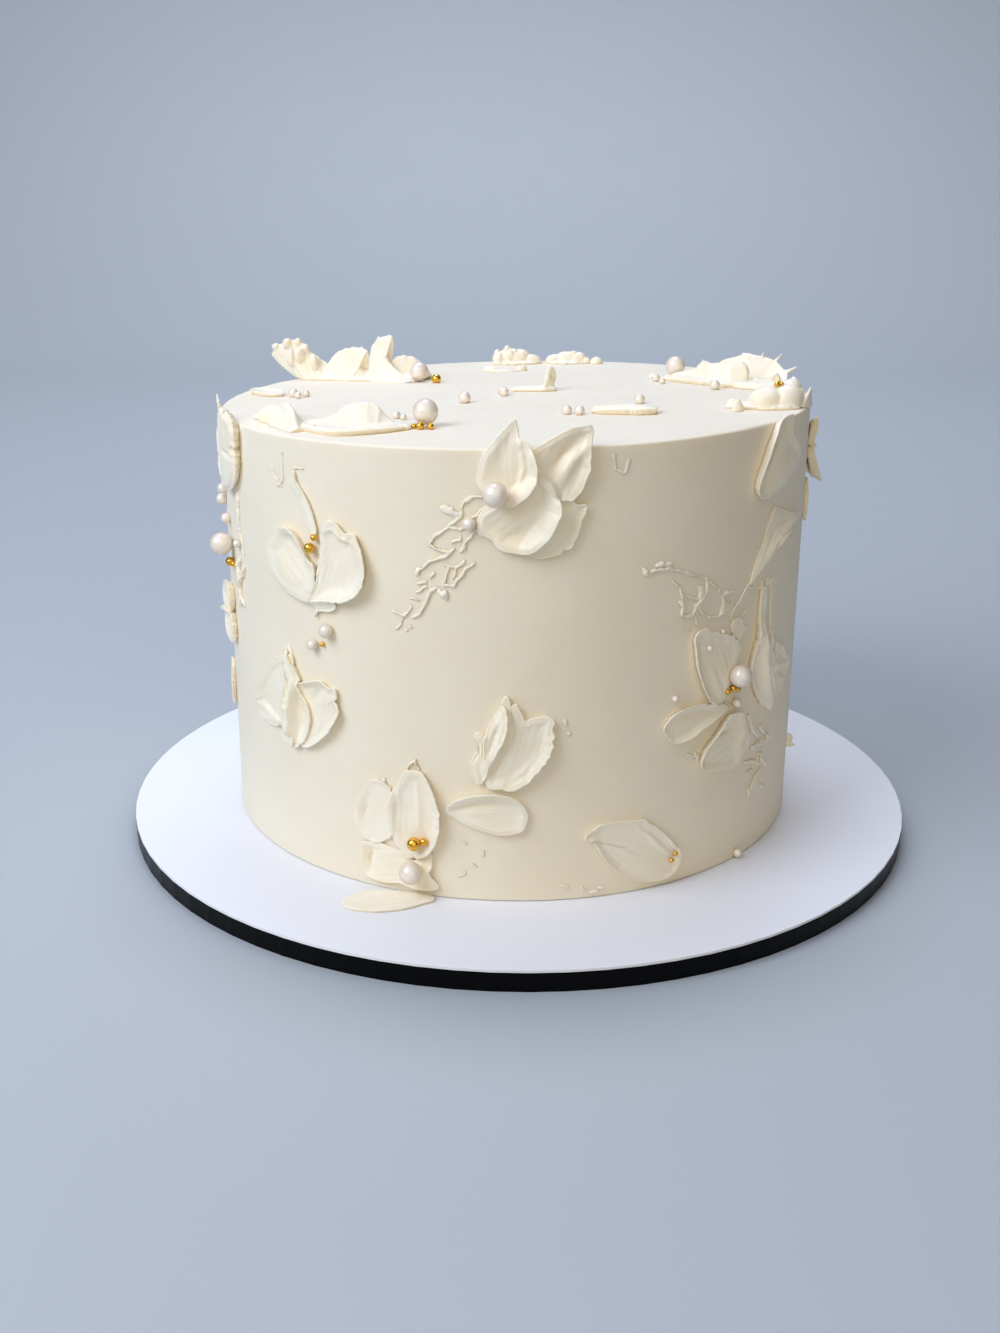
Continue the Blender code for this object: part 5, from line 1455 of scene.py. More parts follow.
@dataclass(frozen=True)
class Lump:
    """A rounded lump of buttercream, in mm on its surface."""

    centre: tuple[float, float, float]
    radii: tuple[float, float, float]
    turn: float = 0.0
    surface: Surface = Surface.TOP

    def build(self, seed: int) -> bpy.types.Object:
        """Press a ball to the lump's radii and turn it."""
        deselect_all()
        bpy.ops.mesh.primitive_uv_sphere_add(segments=40, ring_count=20, radius=1.0)
        piece = bpy.context.object
        spots = read_points(piece)
        swell = 1.0 + 0.05 * grain(spots[:, 0] * 2.0 + 4.0, spots[:, 1] * 2.0 + spots[:, 2] * 2.0, seed)
        write_points(piece, spots * np.array(self.radii) * MM * swell[:, None])
        u, v, level = self.centre
        lift = Matrix.Translation((0.0, 0.0, level * MM))
        spin = Matrix.Rotation(radians(self.turn), 4, "Z")
        piece.data.transform(self.surface.frame_at(u, v) @ lift @ spin)
        return piece


@dataclass(frozen=True)
class Spike:
    """A thin torn point, in mm on its surface, from its root to its tip."""

    root: tuple[float, float, float]
    tip: tuple[float, float, float]
    radius: float = 0.9
    surface: Surface = Surface.TOP
    point: float = 0.18

    def build(self, seed: int) -> bpy.types.Object:
        """Draw a cone out to a point."""
        deselect_all()
        root = Vector(self.surface.points(*self.root))
        run = Vector(self.surface.points(*self.tip)) - root
        bpy.ops.mesh.primitive_cone_add(
            vertices=16, radius1=self.radius * MM, radius2=self.point * MM, depth=run.length
        )
        piece = bpy.context.object
        aim = run.to_track_quat("Z", "Y").to_matrix().to_4x4()
        piece.data.transform(Matrix.Translation(root + run / 2.0) @ aim)
        piece.matrix_world = Matrix.Identity(4)
        return piece


@dataclass
class Cluster:
    """Beds, waves, curls, lumps and torn points, run together into one soft piece."""

    name: str
    beds: tuple[Stroke, ...] = ()
    shapes: tuple[Wave | Curl | Lump | Spike, ...] = ()
    voxel: float = 0.26
    softening: int = 2
    own_node: bool = True

    def finish(self) -> None:
        """Fuse the parts, soften the joins and tie the piece to its solid."""
        parts = [StrokeBench(Surface.TOP, (bed,), fineness=0.4, sunk=0.2).build(0) for bed in self.beds]
        parts += [shape.build(index + 3) for index, shape in enumerate(self.shapes)]
        piece = join(parts, self.name)
        add_modifier(piece, "REMESH", mode="VOXEL", voxel_size=self.voxel * MM, use_smooth_shade=True)
        add_modifier(piece, "SMOOTH", factor=0.5, iterations=self.softening)
        self.knead(piece)
        shade(piece)
        nodes = (self.name,) if self.own_node else ()
        hand_over(piece, PETAL_CREAM, "buttercream_petal", *nodes)

    def knead(self, piece: bpy.types.Object) -> None:
        """Add soft unevenness and the knife's fine streaks along the surface."""
        spots = read_points(piece)
        normals = np.empty(len(piece.data.vertices) * 3)
        piece.data.vertices.foreach_get("normal", normals)
        normals = normals.reshape(-1, 3)
        x, y, z = spots.T / MM
        seed = len(self.name)
        # Swells of about 2.5 mm, and streaks 0.9 mm wide along Y
        push = 0.16 * grain(x / 2.4 + z / 3.1, y / 2.4 - z / 2.7, seed)
        push = push + 0.06 * grain(x / 0.9 + z / 1.3, y / 3.0, seed + 1)
        write_points(piece, spots + normals * (push * MM)[:, None])


RIBBON = Cluster(
    "top_ribbon_cluster",
    (
        Stroke("ribbon_bed", blade((-79, 58), (-34, 44), 6.8, (0.3, 0.5), bow=1.5), 2, pad=1.6,
               crown=1),
        Stroke("ribbon_fold", blade((-76, 59), (-58, 54), 5.2, (0.4, 0.5)), 2, pad=2, crown=2.2),
    ),
    (
        Wave((
            (-79.5, 59, -92.4, 59.5, 9.4, 3, 1.5), (-78.5, 58.5, -90.4, 59, 12.2, 3.5, 2),
            (-77, 57.5, -86.6, 58.5, 14.2, 4.5, 2.5), (-75.5, 57, -82.8, 57.6, 14.9, 5, 3),
            (-74, 56.6, -79.8, 57, 14, 5, 3), (-72.5, 56.2, -77.2, 56.6, 11, 5, 3),
            (-71, 55.6, -73.8, 56, 8.4, 5.5, 3.5), (-69.2, 55, -70.6, 55.5, 6, 5.5, 3.5),
            (-67, 54.6, -67.6, 55, 3.4, 4, 3)), thickness=1.3, hollow=1.25, flutes=0.5),
        Lump((-90.4, 59, 12.2), (1.5, 1.2, 1.3)),
        Lump((-85.6, 57.8, 13.4), (1.9, 1.5, 1.9), 20),
        Lump((-81.6, 57.4, 13.6), (1.6, 1.5, 1.8)),
        Lump((-78.8, 56.4, 11.4), (1.6, 1.4, 1.9), -20),
        Lump((-80.6, 54.8, 9.2), (2.2, 1.5, 2.8), 30),
        Lump((-75.4, 53.6, 6.8), (1.8, 1.6, 3), -15),
        Lump((-84.4, 56.2, 7.8), (1.4, 1.3, 3.2), 10),
        Wave((
            (-71.4, 54.6, -71.8, 55, 3.6, 4, 3), (-69.4, 54.4, -69.8, 54.8, 6.4, 5, 3),
            (-66.4, 54, -67.4, 54.5, 9.6, 6, 3), (-63.8, 53.5, -64.4, 54, 11.3, 6.5, 3),
            (-61.6, 53, -60.6, 53, 12.3, 7, 3), (-60.2, 52.4, -57, 52, 12, 7, 3),
            (-59.2, 51.6, -54.6, 50.6, 10.8, 6.5, 2.5), (-58.6, 51, -56.2, 50.6, 8.4, 5, 2),
            (-57.6, 50.6, -57.6, 50.4, 5.4, 5, 2), (-55.6, 50.4, -55.4, 50.4, 3.4, 5, 2),
            (-53, 50, -53, 50, 2.6, 5, 2)), thickness=1.6, flutes=0.1),
        Wave((
            (-54.6, 50, -54.4, 50.4, 3, 4, 2), (-53.4, 50, -53.8, 50.3, 9, 5, 3),
            (-52.4, 50, -52.8, 50.3, 13, 5, 3), (-51.4, 50, -51.2, 50.2, 15.4, 5.5, 3),
            (-50.6, 49.6, -48.8, 49.8, 16.7, 6, 3), (-50, 49.3, -46.2, 49.2, 16.7, 6, 3),
            (-49.4, 49, -44.8, 48.6, 15.2, 5, 2.5), (-49, 48.5, -47.2, 48.2, 12.4, 4, 2),
            (-48, 48, -47, 48, 9.4, 4, 2), (-46.4, 47.6, -45.8, 47.8, 7.6, 4, 2.5)),
            thickness=1.7, flutes=0.06),
        Wave((
            (-51.4, 47.2, -51, 47.2, 7.5, 3.5, 2), (-49.6, 46, -49.2, 46.2, 10, 4, 2),
            (-47.5, 45, -47, 45.3, 8.3, 4.5, 2.5), (-44.8, 43.5, -44.2, 43.8, 5.4, 4.5, 2.5),
            (-42, 42, -41.5, 42.2, 3.2, 4, 2.5), (-39, 40.5, -39, 40.7, 1.7, 3, 2),
            (-36, 39.5, -36, 39.6, 0.8, 1.5, 1.5))),
        Wave((
            (-46, 50.5, -46, 50.5, 6.5, 4, 4), (-43.5, 50.5, -43.5, 50.5, 8.8, 4, 4),
            (-40, 50.5, -39.5, 50.5, 8.9, 4.5, 4), (-36.5, 50, -36, 50, 7.6, 4.5, 3.5),
            (-33.5, 49, -33, 49, 5, 3.5, 3), (-31, 48, -30.8, 48, 1.5, 2, 2)),
            thickness=2.4, hollow=0.75),
    ),
)
FRONT = Cluster(
    "top_front_cluster",
    (
        Stroke("front_bed", (
            (-84, -34, 0.2), (-78, -29.5, 0.2), (-70, -34, 0.2), (-63, -44, 0.2),
            (-55, -50, 0.2), (-45, -52, 0.2), (-38, -57, 0.2), (-33.5, -62.5, 0.2),
            (-36, -67, 0.4), (-43, -71.3, 0.6), (-54, -74.4, 0.6), (-61, -70, 0.6),
            (-67, -62.5, 0.6), (-74, -54, 0.5), (-80, -45, 0.4), (-85, -38, 0.2)), 3,
            pad=1.6, crown=1, ragged=0.3),
        Stroke("front_hump", blade((-81, -38), (-71, -45), 4.6, (0.4, 0.4)), 2, pad=1.4, crown=1.8),
    ),
    (
        Lump((-77.6, -44, 1.6), (6.4, 4.4, 3.8), -52),
        Lump((-80.6, -37, 0.8), (4, 3.2, 2.6), -40),
        Wave((
            (-66, -60, -66, -57.6, 2.2, 4, 4), (-63.2, -61, -63, -58, 2.8, 4, 4),
            (-60.6, -61.4, -60.2, -57.6, 3, 4.5, 4.5),
            (-57.5, -62, -57.5, -57.5, 4, 5, 4), (-54.6, -62.4, -54.6, -58, 6.2, 6, 5),
            (-51.5, -62.6, -51.4, -58.6, 7.4, 7, 5.5), (-48, -62.6, -47.8, -59.2, 8, 7.5, 5.5),
            (-44.6, -62.6, -44, -59.8, 7, 6.5, 4.5), (-41.5, -62.8, -41, -60.8, 4.2, 5, 3),
            (-38.5, -63.2, -38, -62.2, 1.8, 3, 2), (-35, -64, -35, -63.6, 0.8, 1.5, 1.5)),
            thickness=1.4, hollow=1.15, flutes=0.3),
        Wave((
            (-80, -35, -80, -35, 2.2, 3, 3), (-78, -40, -77.6, -39.6, 4.4, 4.5, 5.5),
            (-76, -46, -75, -45.4, 6.2, 5.5, 7.5), (-74, -52, -72.4, -51.4, 6.9, 6, 9),
            (-72, -57, -70.2, -57, 5.8, 5.5, 9), (-70.2, -62, -69, -62.4, 3.4, 4, 7),
            (-68.6, -65.5, -68, -66, 1.2, 2.5, 4)), thickness=1.2, hollow=2, flutes=0.15),
    ),
)
RIGHT = Cluster(
    "top_right_cluster",
    (
        Stroke("right_bed", (
            (55.5, 37, 0.2), (66, 40, 0.2), (78, 42, 0.2), (89, 34, 0.2), (95.5, 24, 0.2),
            (97, 12, 0.2), (92, 5, 0.5), (80, 9, 0.6), (74, 13, 0.6), (66, 21, 0.6),
            (58.5, 29, 0.5)), 2.4, pad=1.5, crown=1, ragged=0.35),
        Stroke("right_strip", blade((78, 12.5), (91, 4), 3.8, (0.5, 0.5)), 2, pad=1.8, crown=0.6),
    ),
    (
        Wave((
            (57, 36, 57, 36, 1.5, 3, 2), (62, 34.5, 62, 34.5, 3.2, 4.5, 3),
            (66.5, 33, 66.6, 33, 4.4, 5.5, 3.5), (69.6, 31.4, 69.4, 31.5, 7.2, 6, 4),
            (72.4, 29.8, 72.4, 30, 6.6, 6.5, 4), (76, 27.4, 76, 27.6, 7, 6.5, 4),
            (79.6, 24, 79.6, 24.4, 6.4, 6, 4), (82, 20, 82, 20.4, 4.4, 5, 4),
            (83.6, 16.4, 83.6, 16.6, 1.8, 3, 3)), thickness=1.8, hollow=0.9, flutes=0.3),
        Wave((
            (72, 38, 72, 38, 3, 5, 3), (78, 34.5, 78, 34.5, 7.2, 7, 4),
            (82, 33.4, 82, 33.4, 8.6, 8, 4.5), (86, 32, 86, 32, 9.4, 9, 5),
            (90.6, 29.5, 91.2, 29.6, 8.6, 8.5, 4), (93.4, 26.5, 95, 27, 7.4, 7.5, 3),
            (95, 22, 96.6, 22.4, 5.4, 6, 2), (95.6, 17, 97.6, 17.4, 4.8, 5, 2),
            (95.2, 13, 96.4, 13, 2, 3, 1.5)), thickness=1.3, hollow=1, flutes=0.3),
        Lump((81, 18.2, 4.2), (2.1, 4, 4.1), 42),
        Spike((90.4, 29.6, 7.4), (91, 29.6, 10.4), 0.8),
        Spike((94.6, 27.4, 6), (97.6, 28, 9.8), 1.1),
        Spike((97, 17.6, 3.8), (101.4, 17.6, 6.4), 1.2),
        Spike((84, 33, 8), (84.6, 33.4, 9.9), 0.7),
        Spike((69.6, 31.4, 6), (69, 31.6, 8.2), 0.8),
    ),
)
BUD = Cluster(
    "top_bud",
    (
        Stroke("bud_bed", (
            (67.5, -35, 0.2), (74, -38.2, 0.4), (82, -40.8, 0.5), (89, -39.6, 0.5),
            (94.5, -31, 0.4), (95.5, -23.5, 0.2), (89, -24, 0.2), (80, -27.5, 0.2),
            (72.5, -31, 0.2)), 2, pad=1.3, crown=0.4, ragged=0.3),
    ),
    (
        Lump((81.2, -34.8, 2.4), (6.9, 5.4, 4.7), 12),
        Lump((86.6, -34.2, 2.6), (6.2, 5.7, 5.3), -24),
        Lump((84.6, -31, 3), (7.2, 4.6, 4.9)),
        Lump((89.4, -31.6, 4.4), (3.6, 4.4, 4.4), -30),
        Lump((84.2, -39.4, 0.6), (7, 1.8, 1.2), 4),
        Lump((91.8, -31.4, 2.4), (2.4, 4.4, 4.2), -12),
        Lump((70.2, -33.6, 1.2), (2.2, 1.8, 1.9)),
        Lump((74, -35, 0.8), (3, 1.4, 1.3), -20),
        Curl((84.6, -27.6), 262, 10.4, 6, bend=16, sweep=0.2, droop=0.8, thickness=1.2),
        Curl((91.4, -29.8), 205, 9, 6, bend=20, sweep=0.2, droop=0.55, thickness=1.2),
        Wave((
            (91.4, -37, 92, -37.4, 1.2, 1.5, 1.5), (93, -34, 94.2, -34.2, 4.4, 2, 2),
            (94.2, -30.6, 95.8, -30.6, 5.6, 2.4, 2), (95, -27, 96.4, -27, 5, 2.4, 2),
            (95.2, -23.4, 95.8, -23.2, 1.4, 1.5, 1.5))),
    ),
)
CENTRE = Cluster(
    "top_curl_stroke",
    (
        Stroke("centre_bed", blade((-1.5, 14), (15, 13), 3.4, (0.5, 0.4), (0.3, 0.3, 0.3, 0.2)), 1.6,
               pad=1.3, crown=0.5, ragged=0.35),
    ),
    (
        Curl((11, 14.5), -38, 8.3, 5.6, bend=38, sweep=0.35, droop=0.6),
        Lump((12.2, 13.6, 2), (2, 1.6, 3.4)),
    ),
    voxel=0.22,
)
REAR_LEFT = Cluster(
    "top_stroke_rear_left",
    (Stroke("rear_left_bed", blade((13, 90.8), (-6.6, 91), 4.6, (0.6, 0.4)), 2, pad=1.4, ragged=0.4),),
    (
        Lump((-4.6, 91, 2.2), (2.6, 2.6, 3.2), 10),
        Lump((-0.8, 91, 3.2), (3.2, 2.6, 3.5), -15),
        Lump((3.6, 91, 2.4), (4.6, 2.6, 3.4)),
        Lump((8.2, 90.8, 1.4), (4.4, 2.3, 2.4), -6),
        Lump((-1.4, 90.4, 6), (1.2, 1.1, 1.5), 30),
        Lump((-5.4, 90.6, 4.6), (1.2, 1.1, 1.3)),
        Lump((1.6, 90.2, 5.2), (1.4, 1.2, 1)),
    ),
)
REAR_RIGHT = Cluster(
    "top_stroke_rear_right",
    (Stroke("rear_right_bed", blade((31, 88.4), (14.4, 90.2), 3.8, (0.5, 0.5)), 1.8, pad=1.3, ragged=0.4),),
    (
        Lump((17.8, 90, 1.4), (3.6, 2.2, 2.3), 8),
        Lump((22.6, 89.6, 1.9), (4.4, 2.4, 3), -6),
        Lump((27, 89, 1.6), (3.4, 2.2, 2.8)),
        Lump((25.4, 89, 4.2), (1.6, 1.2, 0.9), 15),
        Lump((30.6, 88.6, 0.8), (1.7, 1.6, 1.6)),
    ),
)


def wisp(u: float, v: float, level: float, lean: float, length: float) -> tuple[Spike, Spike]:
    """A torn thread at the rim in two lengths, the second one bent further over."""
    middle = (u + lean * 0.35, v + length * 0.6, level + 0.3)
    tip = (u + lean, v + length, level + 0.2)
    return (Spike((u, v, level), middle, 0.55, Surface.SIDE), Spike(middle, tip, 0.38, Surface.SIDE))


RIM_WISPS = Cluster(
    "left_rim_wisps",
    shapes=(
        *wisp(-122.6, 140.6, 2.2, -2.2, 7.6),
        *wisp(-120.6, 141.6, 2.8, 2.4, 5.6),
        *wisp(-118.4, 142.2, 2.6, -1.6, 4.8),
        *wisp(-123.4, 136, 1.8, -1.4, 7),
        *wisp(-116.4, 141.4, 2.4, 1.8, 3.6),
        *wisp(-122.2, 130, 2, -1.6, 6),
        Lump((-122.4, 141.2, 1.8), (1.4, 2.6, 1.3), 12, Surface.SIDE),
        Lump((-118, 143, 2), (2.2, 1.2, 1.4), -20, Surface.SIDE),
        Lump((-123.6, 122.4, 1.2), (1.5, 2.2, 1.6), 0, Surface.SIDE),
    ),
    voxel=0.2,
    softening=1,
    own_node=False,
)
SCRAPS = Cluster(
    "buttercream_scraps",
    shapes=tuple(
        Lump((*spot, 0.1 * height), (length, width, height), turn, surface)
        for surface, spot, length, width, height, turn in (
            (Surface.SIDE, (-96.5, 46), 4.5, 1.6, 1.3, -8),
            (Surface.SIDE, (-80, 72.8), 2.4, 0.9, 1, -60),
            (Surface.SIDE, (135.5, 24.5), 2.4, 1.1, 2, 20),
            (Surface.SIDE, (133.4, 22.8), 1.6, 0.9, 2.9, -30),
            (Surface.SIDE, (wall_at(14), 97), 4.5, 1.5, 1.4, 35),
            (Surface.SIDE, (wall_at(150), 76), 5.5, 2.6, 1.6, 60),
            (Surface.TOP, (-3, 66.4), 5.4, 2, 0.9, 0),
            (Surface.TOP, (-8.4, 68), 3.2, 1.5, 1.9, -32),
            (Surface.TOP, (4, 68.8), 2.4, 1.7, 2.2, 24),
            (Surface.TOP, (34.5, 86.5), 2.6, 2.4, 2.4, 0),
            (Surface.TOP, (70.5, -41), 2.2, 1.4, 3.4, 30),
            (Surface.TOP, (52.6, 40.6), 2.2, 1.5, 1.6, 10),
        )
    ),
    voxel=0.24,
    own_node=False,
)


# Pearls, beads and scraps

class BeadKind(Enum):
    """What a small ball is coated with."""

    PEARL = "pearl"
    GOLD = "gold"


@dataclass(frozen=True)
class Ball:
    """A ball in mm on its surface, level being the height of its underside."""

    surface: Surface
    u: float
    v: float
    radius: float
    level: float = 0.0
    kind: BeadKind = BeadKind.PEARL

    def build(self, name: str, segments: int = 48) -> bpy.types.Object:
        """Model a ball, pressed a little out of true."""
        deselect_all()
        bpy.ops.mesh.primitive_uv_sphere_add(
            segments=segments, ring_count=segments // 2, radius=self.radius * MM
        )
        piece = bpy.context.object
        piece.name = name
        piece.data.name = name
        spots = read_points(piece)
        direction = spots / (self.radius * MM)
        seed = int(abs(self.u * 7.0) + abs(self.v * 3.0))
        swell = 0.012 * grain(direction[:, 0] * 1.3 + 5.0, direction[:, 1] * 1.3 + direction[:, 2], seed)
        write_points(piece, spots * (1.0 + swell)[:, None])
        centre = Vector(self.surface.points(self.u, self.v, self.level + self.radius))
        piece.data.transform(Matrix.Translation(centre))
        piece.matrix_world = Matrix.Identity(4)
        shade(piece)
        return piece


PEARLS = {
    "pearl_front_flower": Ball(Surface.SIDE, -7.5, 130.4, 3.65, 1.5),
    "pearl_base_flower": Ball(Surface.SIDE, -32.6, 9.6, 3.6, 1.6),
    "pearl_right_flower": Ball(Surface.SIDE, 73.5, 67, 3.6, 0.6),
    "pearl_left_chain": Ball(Surface.SIDE, -123, 98.9, 3.75, 0.35),
    "pearl_top_ribbon": Ball(Surface.TOP, -35, 42.5, 3.5, 0.35),
    "pearl_top_front": Ball(Surface.TOP, -29, -60, 4, 0.7),
    "pearl_top_right": Ball(Surface.TOP, 60.5, 40.5, 3.6, 0.8),
}


# Height of a small bead's middle over what it is pressed into, as a share of its radius
BEAD_SEAT = 0.8


def bead(surface: Surface, kind: BeadKind, u: float, v: float, radius: float, level: float = 0) -> Ball:
    """A small bead pressed a little into what it lies on."""
    return Ball(surface, u, v, radius, level + (BEAD_SEAT - 1) * radius, kind)


# The place and radius of each, and the height of what it lies on where that is a stroke
SMALL_BEADS = tuple(
    bead(surface, kind, *spot)
    for surface, kind, spots in (
        (Surface.SIDE, BeadKind.PEARL, (
            (-15.2, 121, 2), (-62.3, 83.3, 2.2), (-68.4, 77.6, 1.8), (49.6, 63.5, 1.1),
            (72.5, 79, 1), (68, 82, 0.8), (76, 56.6, 1.6), (-133, 115.4, 1.8),
            (-136, 111.2, 2), (-126.5, 106.6, 1.8), (-113, 101, 1.4), (81.6, 1.9, 1.5),
            (wall_at(20), 104, 1.9), (wall_at(112), 118, 1.9), (wall_at(108.5), 113, 1.4),
            (wall_at(150), 70, 1.9), (61, 78.2, 1, 1.4), (wall_at(63), 96.5, 2.1, 1.5),
        )),
        (Surface.SIDE, BeadKind.GOLD, (
            (-67.5, 108.6, 1.7, 0.6), (-66, 112, 1.1, 0.6), (-64.9, 78.2, 0.8),
            (73.5, 62.2, 1.2, 0.5), (76.2, 61.2, 1, 0.3), (70.8, 61.6, 0.9, 0.8), (-123.5, 92.4, 1.6),
            (-120.8, 92.2, 1), (wall_at(56.5), 96, 1.5), (-32.2, 18.8, 2.2, 1.5),
            (-29.2, 19.7, 1.3, 1.5), (51.5, 11, 0.8, 1.3), (50.2, 9, 0.8, 1.3),
            (154, 126, 1.6, 1.4),
        )),
        (Surface.TOP, BeadKind.PEARL, (
            (-78, 9, 1.7), (-73.5, 9.5, 1.3), (-76, 5.8, 1.3), (-17.5, -12, 2.1),
            (-4.5, 6, 1.6), (-3.8, 2.4, 1.6), (15.6, -40.5, 1.7), (19.6, -42, 1.7),
            (41, -21, 1.8), (52.5, 32.5, 1.5), (54, 25.5, 1.2), (70.5, 8.5, 1.9),
            (-39, -43, 1.4), (-36.6, -45.2, 1.1),
        )),
        (Surface.TOP, BeadKind.GOLD, (
            (83.6, -36, 0.9, 6.9), (85.2, -35.6, 0.7, 7.2), (84.4, -34.2, 0.7, 7.5),
            (-28.5, 38.5, 1.8), (-30.5, -64.5, 1.3), (-27.3, -65, 1.1), (-32.5, -62.5, 0.9),
        )),
    )
    for spot in spots
)


@dataclass
class Trimmings:
    """Pearls and beads that lie on the buttercream."""

    def finish(self) -> None:
        """Model the large pearls one by one and the small beads joined by kind."""
        for name, ball in PEARLS.items():
            hand_over(ball.build(name), PEARL_DUST, "sugar_pearl", name)
        finishes = {BeadKind.PEARL: (PEARL_DUST, "sugar_pearl"), BeadKind.GOLD: (GOLD, "gold_bead")}
        for kind, (finish, slot) in finishes.items():
            balls = [item.build("bead", 24) for item in SMALL_BEADS if item.kind is kind]
            piece = join(balls, f"small_{kind.value}_beads")
            hand_over(piece, finish, slot)


# Cake, board and studio

@dataclass
class IcedCake:
    """The cake's smooth body, scraped straight at the side and flat on top."""

    columns: int = 440
    top_rows: int = 46
    wall_rows: int = 100
    edge: float = 0.7

    def profile(self, share: np.ndarray) -> tuple[np.ndarray, np.ndarray, np.ndarray]:
        """Outline from the middle of the top, over the edge and down the wall.

        Args:
            share: How far along the outline, from 0 to 1.

        Returns:
            Radius and height above the board in mm, and 1 on the wall or 0 on the top.
        """
        rows = self.top_rows + self.wall_rows
        row = share * rows
        on_top = np.clip(row / self.top_rows, 0.0, 1.0)
        down = np.clip((row - self.top_rows) / self.wall_rows, 0.0, 1.0)
        edge_share = 0.05
        round_part = np.clip(down / edge_share, 0.0, 1.0) * pi / 2
        wall_part = np.clip((down - edge_share) / (1.0 - edge_share), 0.0, 1.0)
        radius = (CAKE_RADIUS - self.edge) * np.sqrt(on_top) + self.edge * np.sin(round_part)
        height = CAKE_HEIGHT - self.edge * (1.0 - np.cos(round_part))
        height = height - (CAKE_HEIGHT - self.edge) * wall_part
        return radius, height, (row > self.top_rows).astype(float)

    def build(self) -> bpy.types.Object:
        """Wrap a grid round the cake and press in the scraper's marks."""
        rows = self.top_rows + self.wall_rows

        def place(x: np.ndarray, y: np.ndarray) -> np.ndarray:
            """Wrap each grid point round the cake."""
            turn = pi * (x + 1.0)
            turn = np.where(turn > 2.0 * pi - MERGE, 0.0, turn)
            radius, height, on_wall = self.profile((1.0 - y) / 2.0)
            arc = turn * CAKE_RADIUS
            near_foot = smooth(30.0, 0.0, height)
            # The scraper's edge leaves fine level lines, the plainest near the foot, and wide swells
            marks = 0.03 * grain(arc / 60.0, height / 1.1, 3)
            marks = marks + 0.06 * near_foot * grain(arc / 18.0, height / 0.9, 4)
            swells = 0.12 * grain(arc / 45.0, height / 38.0, 5)
            round_cake = 2.0 * pi * CAKE_RADIUS
            fade = smooth(0.0, 6.0, arc) * smooth(round_cake, round_cake - 6.0, arc)
            radius = radius + (marks + swells) * on_wall * fade
            flat_x = radius * np.cos(turn - pi / 2)
            flat_y = radius * np.sin(turn - pi / 2)
            spin = 0.05 * grain(flat_x / 26.0 + 3.0, flat_y / 9.0, 6)
            spin = spin + 0.05 * grain(flat_x / 18.0, flat_y / 22.0, 7)
            at_edge = smooth(CAKE_RADIUS - 2.0, CAKE_RADIUS, radius)
            edge_dip = 0.16 * grain(arc / 3.6, arc * 0.0, 8) * at_edge * fade
            level = height + TOP_RISE * flat_x * smooth(CAKE_HEIGHT - 20.0, CAKE_HEIGHT, height)
            level = level + (spin + edge_dip) * (1.0 - on_wall) * smooth(0.0, 10.0, radius)
            spots = (CAKE_X + flat_x, CAKE_Y + flat_y, BOARD_TOP + GAP + level)
            return np.stack(spots, axis=-1) * MM

        piece = sculpt_grid("iced_cake", self.columns, rows, place)
        close_holes(piece)
        shade(piece, 40.0)
        return piece

    def finish(self) -> None:
        """Model the cake and tie it to its solid."""
        hand_over(self.build(), WALL_CREAM, "iced_wall", "cake_body")


@dataclass
class CakeBoard:
    """The round board, its white face and its black core, kept from the solids."""

    def finish(self) -> None:
        """Give both solids their laminates."""
        PALETTE.dress(frame["nodes"]["board_core"], CORE_FILM)
        PALETTE.dress(frame["nodes"]["board_face"], FACE_FILM)
        for name in ("board_core", "board_face"):
            LOG.info("%s: dressed", name)


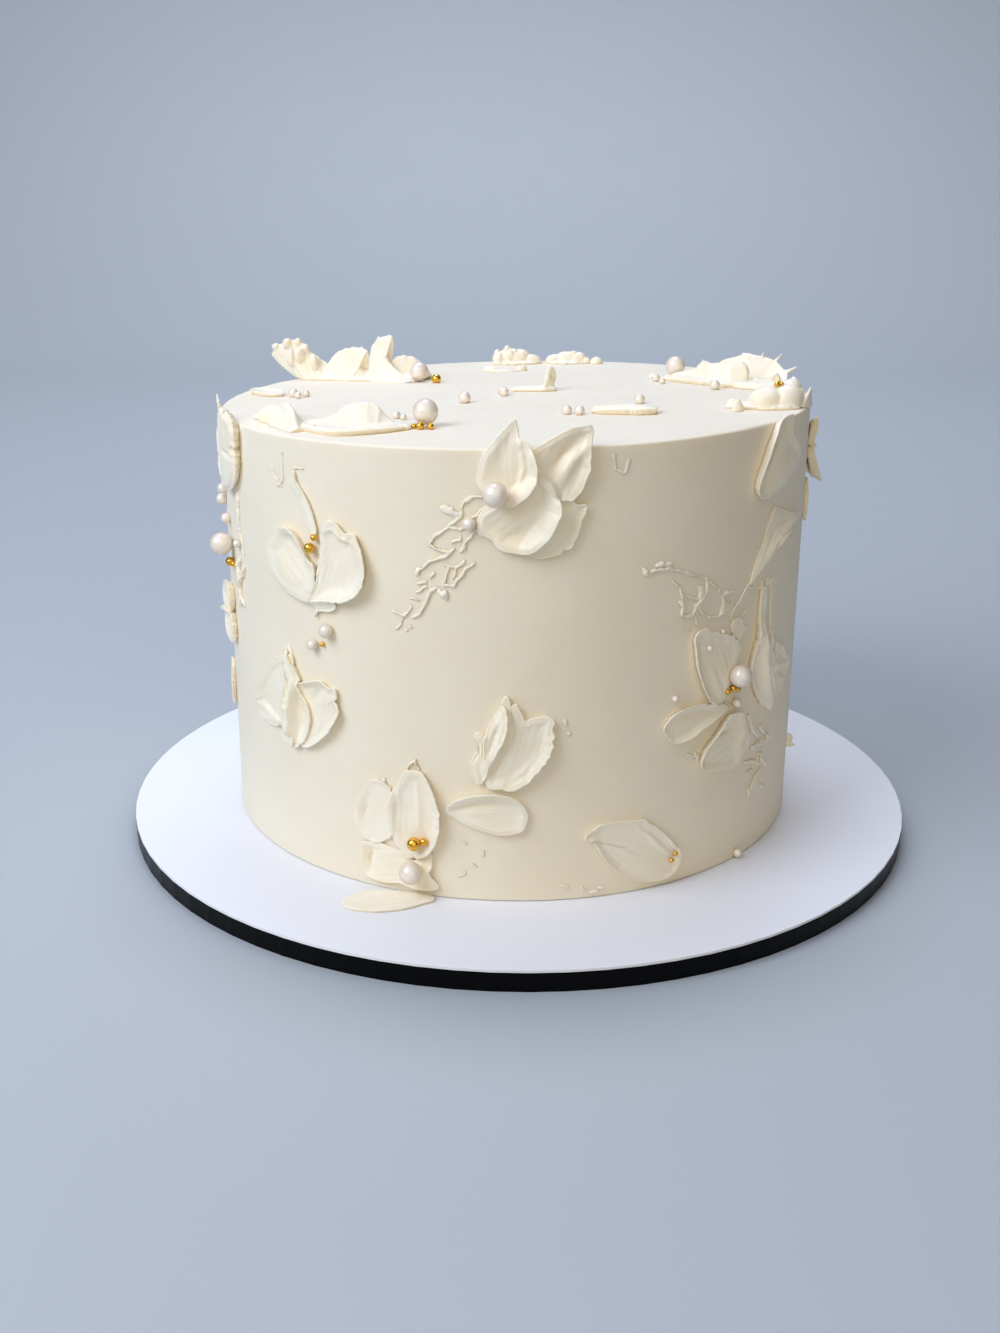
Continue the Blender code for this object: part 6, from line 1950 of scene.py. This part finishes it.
@dataclass
class Studio:
    """Pale table, plain soft light and the camera."""

    focal_px: float = 1474.4
    height_px: float = 1333.0
    sensor_mm: float = 36.0
    camera_place: tuple[float, float, float] = (-0.01426, -0.51219, 0.2246)
    pitch_deg: float = 18.6485
    yaw_deg: float = 0.811
    roll_deg: float = 0.324
    table_size: float = 6.0
    sky_colour: str = "#E3EFFF"
    sky_strength: float = 0.15

    def add_table(self) -> None:
        """Lay a sheet that turns up into a backdrop far behind."""
        bend_start = 1.2
        bend_radius = 0.5

        def place(x: np.ndarray, y: np.ndarray) -> np.ndarray:
            """Lay each grid point on the table, on its bend or on the backdrop."""
            run = (y + 1.0) / 2.0 * self.table_size - 2.5
            past = np.clip(run - bend_start, 0.0, bend_radius * pi / 2)
            rise = np.clip(run - bend_start - bend_radius * pi / 2, 0.0, None)
            flat = np.minimum(run, bend_start) + bend_radius * np.sin(past / bend_radius)
            up = bend_radius * (1.0 - np.cos(past / bend_radius)) + rise
            return np.stack((x * self.table_size / 2.0, flat, up - 0.0001), axis=-1)

        table = sculpt_grid("table", 4, 120, place)
        shade(table)
        PALETTE.dress(table, TABLE_PAINT)

    def add_light(
        self,
        name: str,
        place: tuple[float, float, float],
        size: float,
        power: float,
        colour: str,
        target: tuple[float, float, float] = (0.0, 0.0, 0.08),
    ) -> None:
        """Hang one square soft light that faces its target."""
        deselect_all()
        bpy.ops.object.light_add(type="AREA", location=place)
        light = bpy.context.object
        light.name = name
        light.data.shape = "SQUARE"
        light.data.size = size
        light.data.energy = power
        light.data.color = linear(colour)[:3]
        aim = Vector(target) - Vector(place)
        light.rotation_euler = aim.to_track_quat("-Z", "Y").to_euler()

    def add_camera(self) -> None:
        """Stand the camera where the photograph was taken."""
        deselect_all()
        bpy.ops.object.camera_add(location=self.camera_place)
        camera = bpy.context.object
        camera.data.sensor_width = self.sensor_mm
        camera.data.lens = self.focal_px / self.height_px * self.sensor_mm
        turn = Matrix.Rotation(radians(-self.yaw_deg), 4, "Z")
        tip = Matrix.Rotation(radians(90.0 - self.pitch_deg), 4, "X")
        roll = Matrix.Rotation(radians(self.roll_deg), 4, "Z")
        camera.rotation_euler = (turn @ tip @ roll).to_euler()
        bpy.context.scene.camera = camera

    def add_sky(self) -> None:
        """Fill the room with even pale light."""
        world = bpy.data.worlds.new("room")
        bpy.context.scene.world = world
        world.use_nodes = True
        background = world.node_tree.nodes["Background"]
        background.inputs["Color"].default_value = linear(self.sky_colour)
        background.inputs["Strength"].default_value = self.sky_strength

    def finish(self) -> None:
        """Set up the whole studio."""
        self.add_table()
        self.add_light("window", (-0.7, -0.5, 0.75), 0.7, 9.0, "#EAF3FF")
        self.add_light("warm_bounce", (0.2, -1.6, 0.9), 1.6, 9.0, "#FFEBB7")
        self.add_light("sky_light", (-0.2, 0.0, 1.6), 2.0, 7.2, "#B6C1FF")
        self.add_light("backdrop_wash", (0.0, 0.75, 1.9), 0.9, 27.0, "#EEF4FF", (0.0, 1.7, 0.7))
        self.add_sky()
        self.add_camera()
        bpy.context.scene.view_settings.view_transform = "Standard"


WALL_FLOWERS = (
    FRONT_FLOWER, HEART_FLOWER, TULIP_FLOWER, BASE_FLOWER, SHELL_FLOWER, OVAL_PETAL, TILTED_PETAL,
    RIGHT_FLOWER, WEDGE_STROKE, RIM_PETAL, LEFT_STROKES, FAR_RIGHT_FLOWER, BACK_FLOWER, BACK_LEAVES,
)
LACES = (FRONT_LACE, RIGHT_LACE, LEFT_LACE, CRUMBS)
CLUSTERS = (RIBBON, FRONT, RIGHT, BUD, CENTRE, REAR_LEFT, REAR_RIGHT, RIM_WISPS, SCRAPS)


def main() -> None:
    """Build and dress every piece, then the studio."""
    logging.basicConfig(level=logging.INFO, format="%(name)s: %(message)s")
    IcedCake().finish()
    CakeBoard().finish()
    for flower in WALL_FLOWERS:
        StrokeBench(Surface.SIDE, flower).finish_all()
    StrokeBench(Surface.BOARD, BOARD_PETAL).finish_all()
    for lace in LACES:
        lace.finish()
    StrokeBench(Surface.TOP, SMALL_TOP_STROKES).finish_all()
    for cluster in CLUSTERS:
        cluster.finish()
    Trimmings().finish()
    Studio().finish()
    deselect_all()


if __name__ == "__main__":
    main()
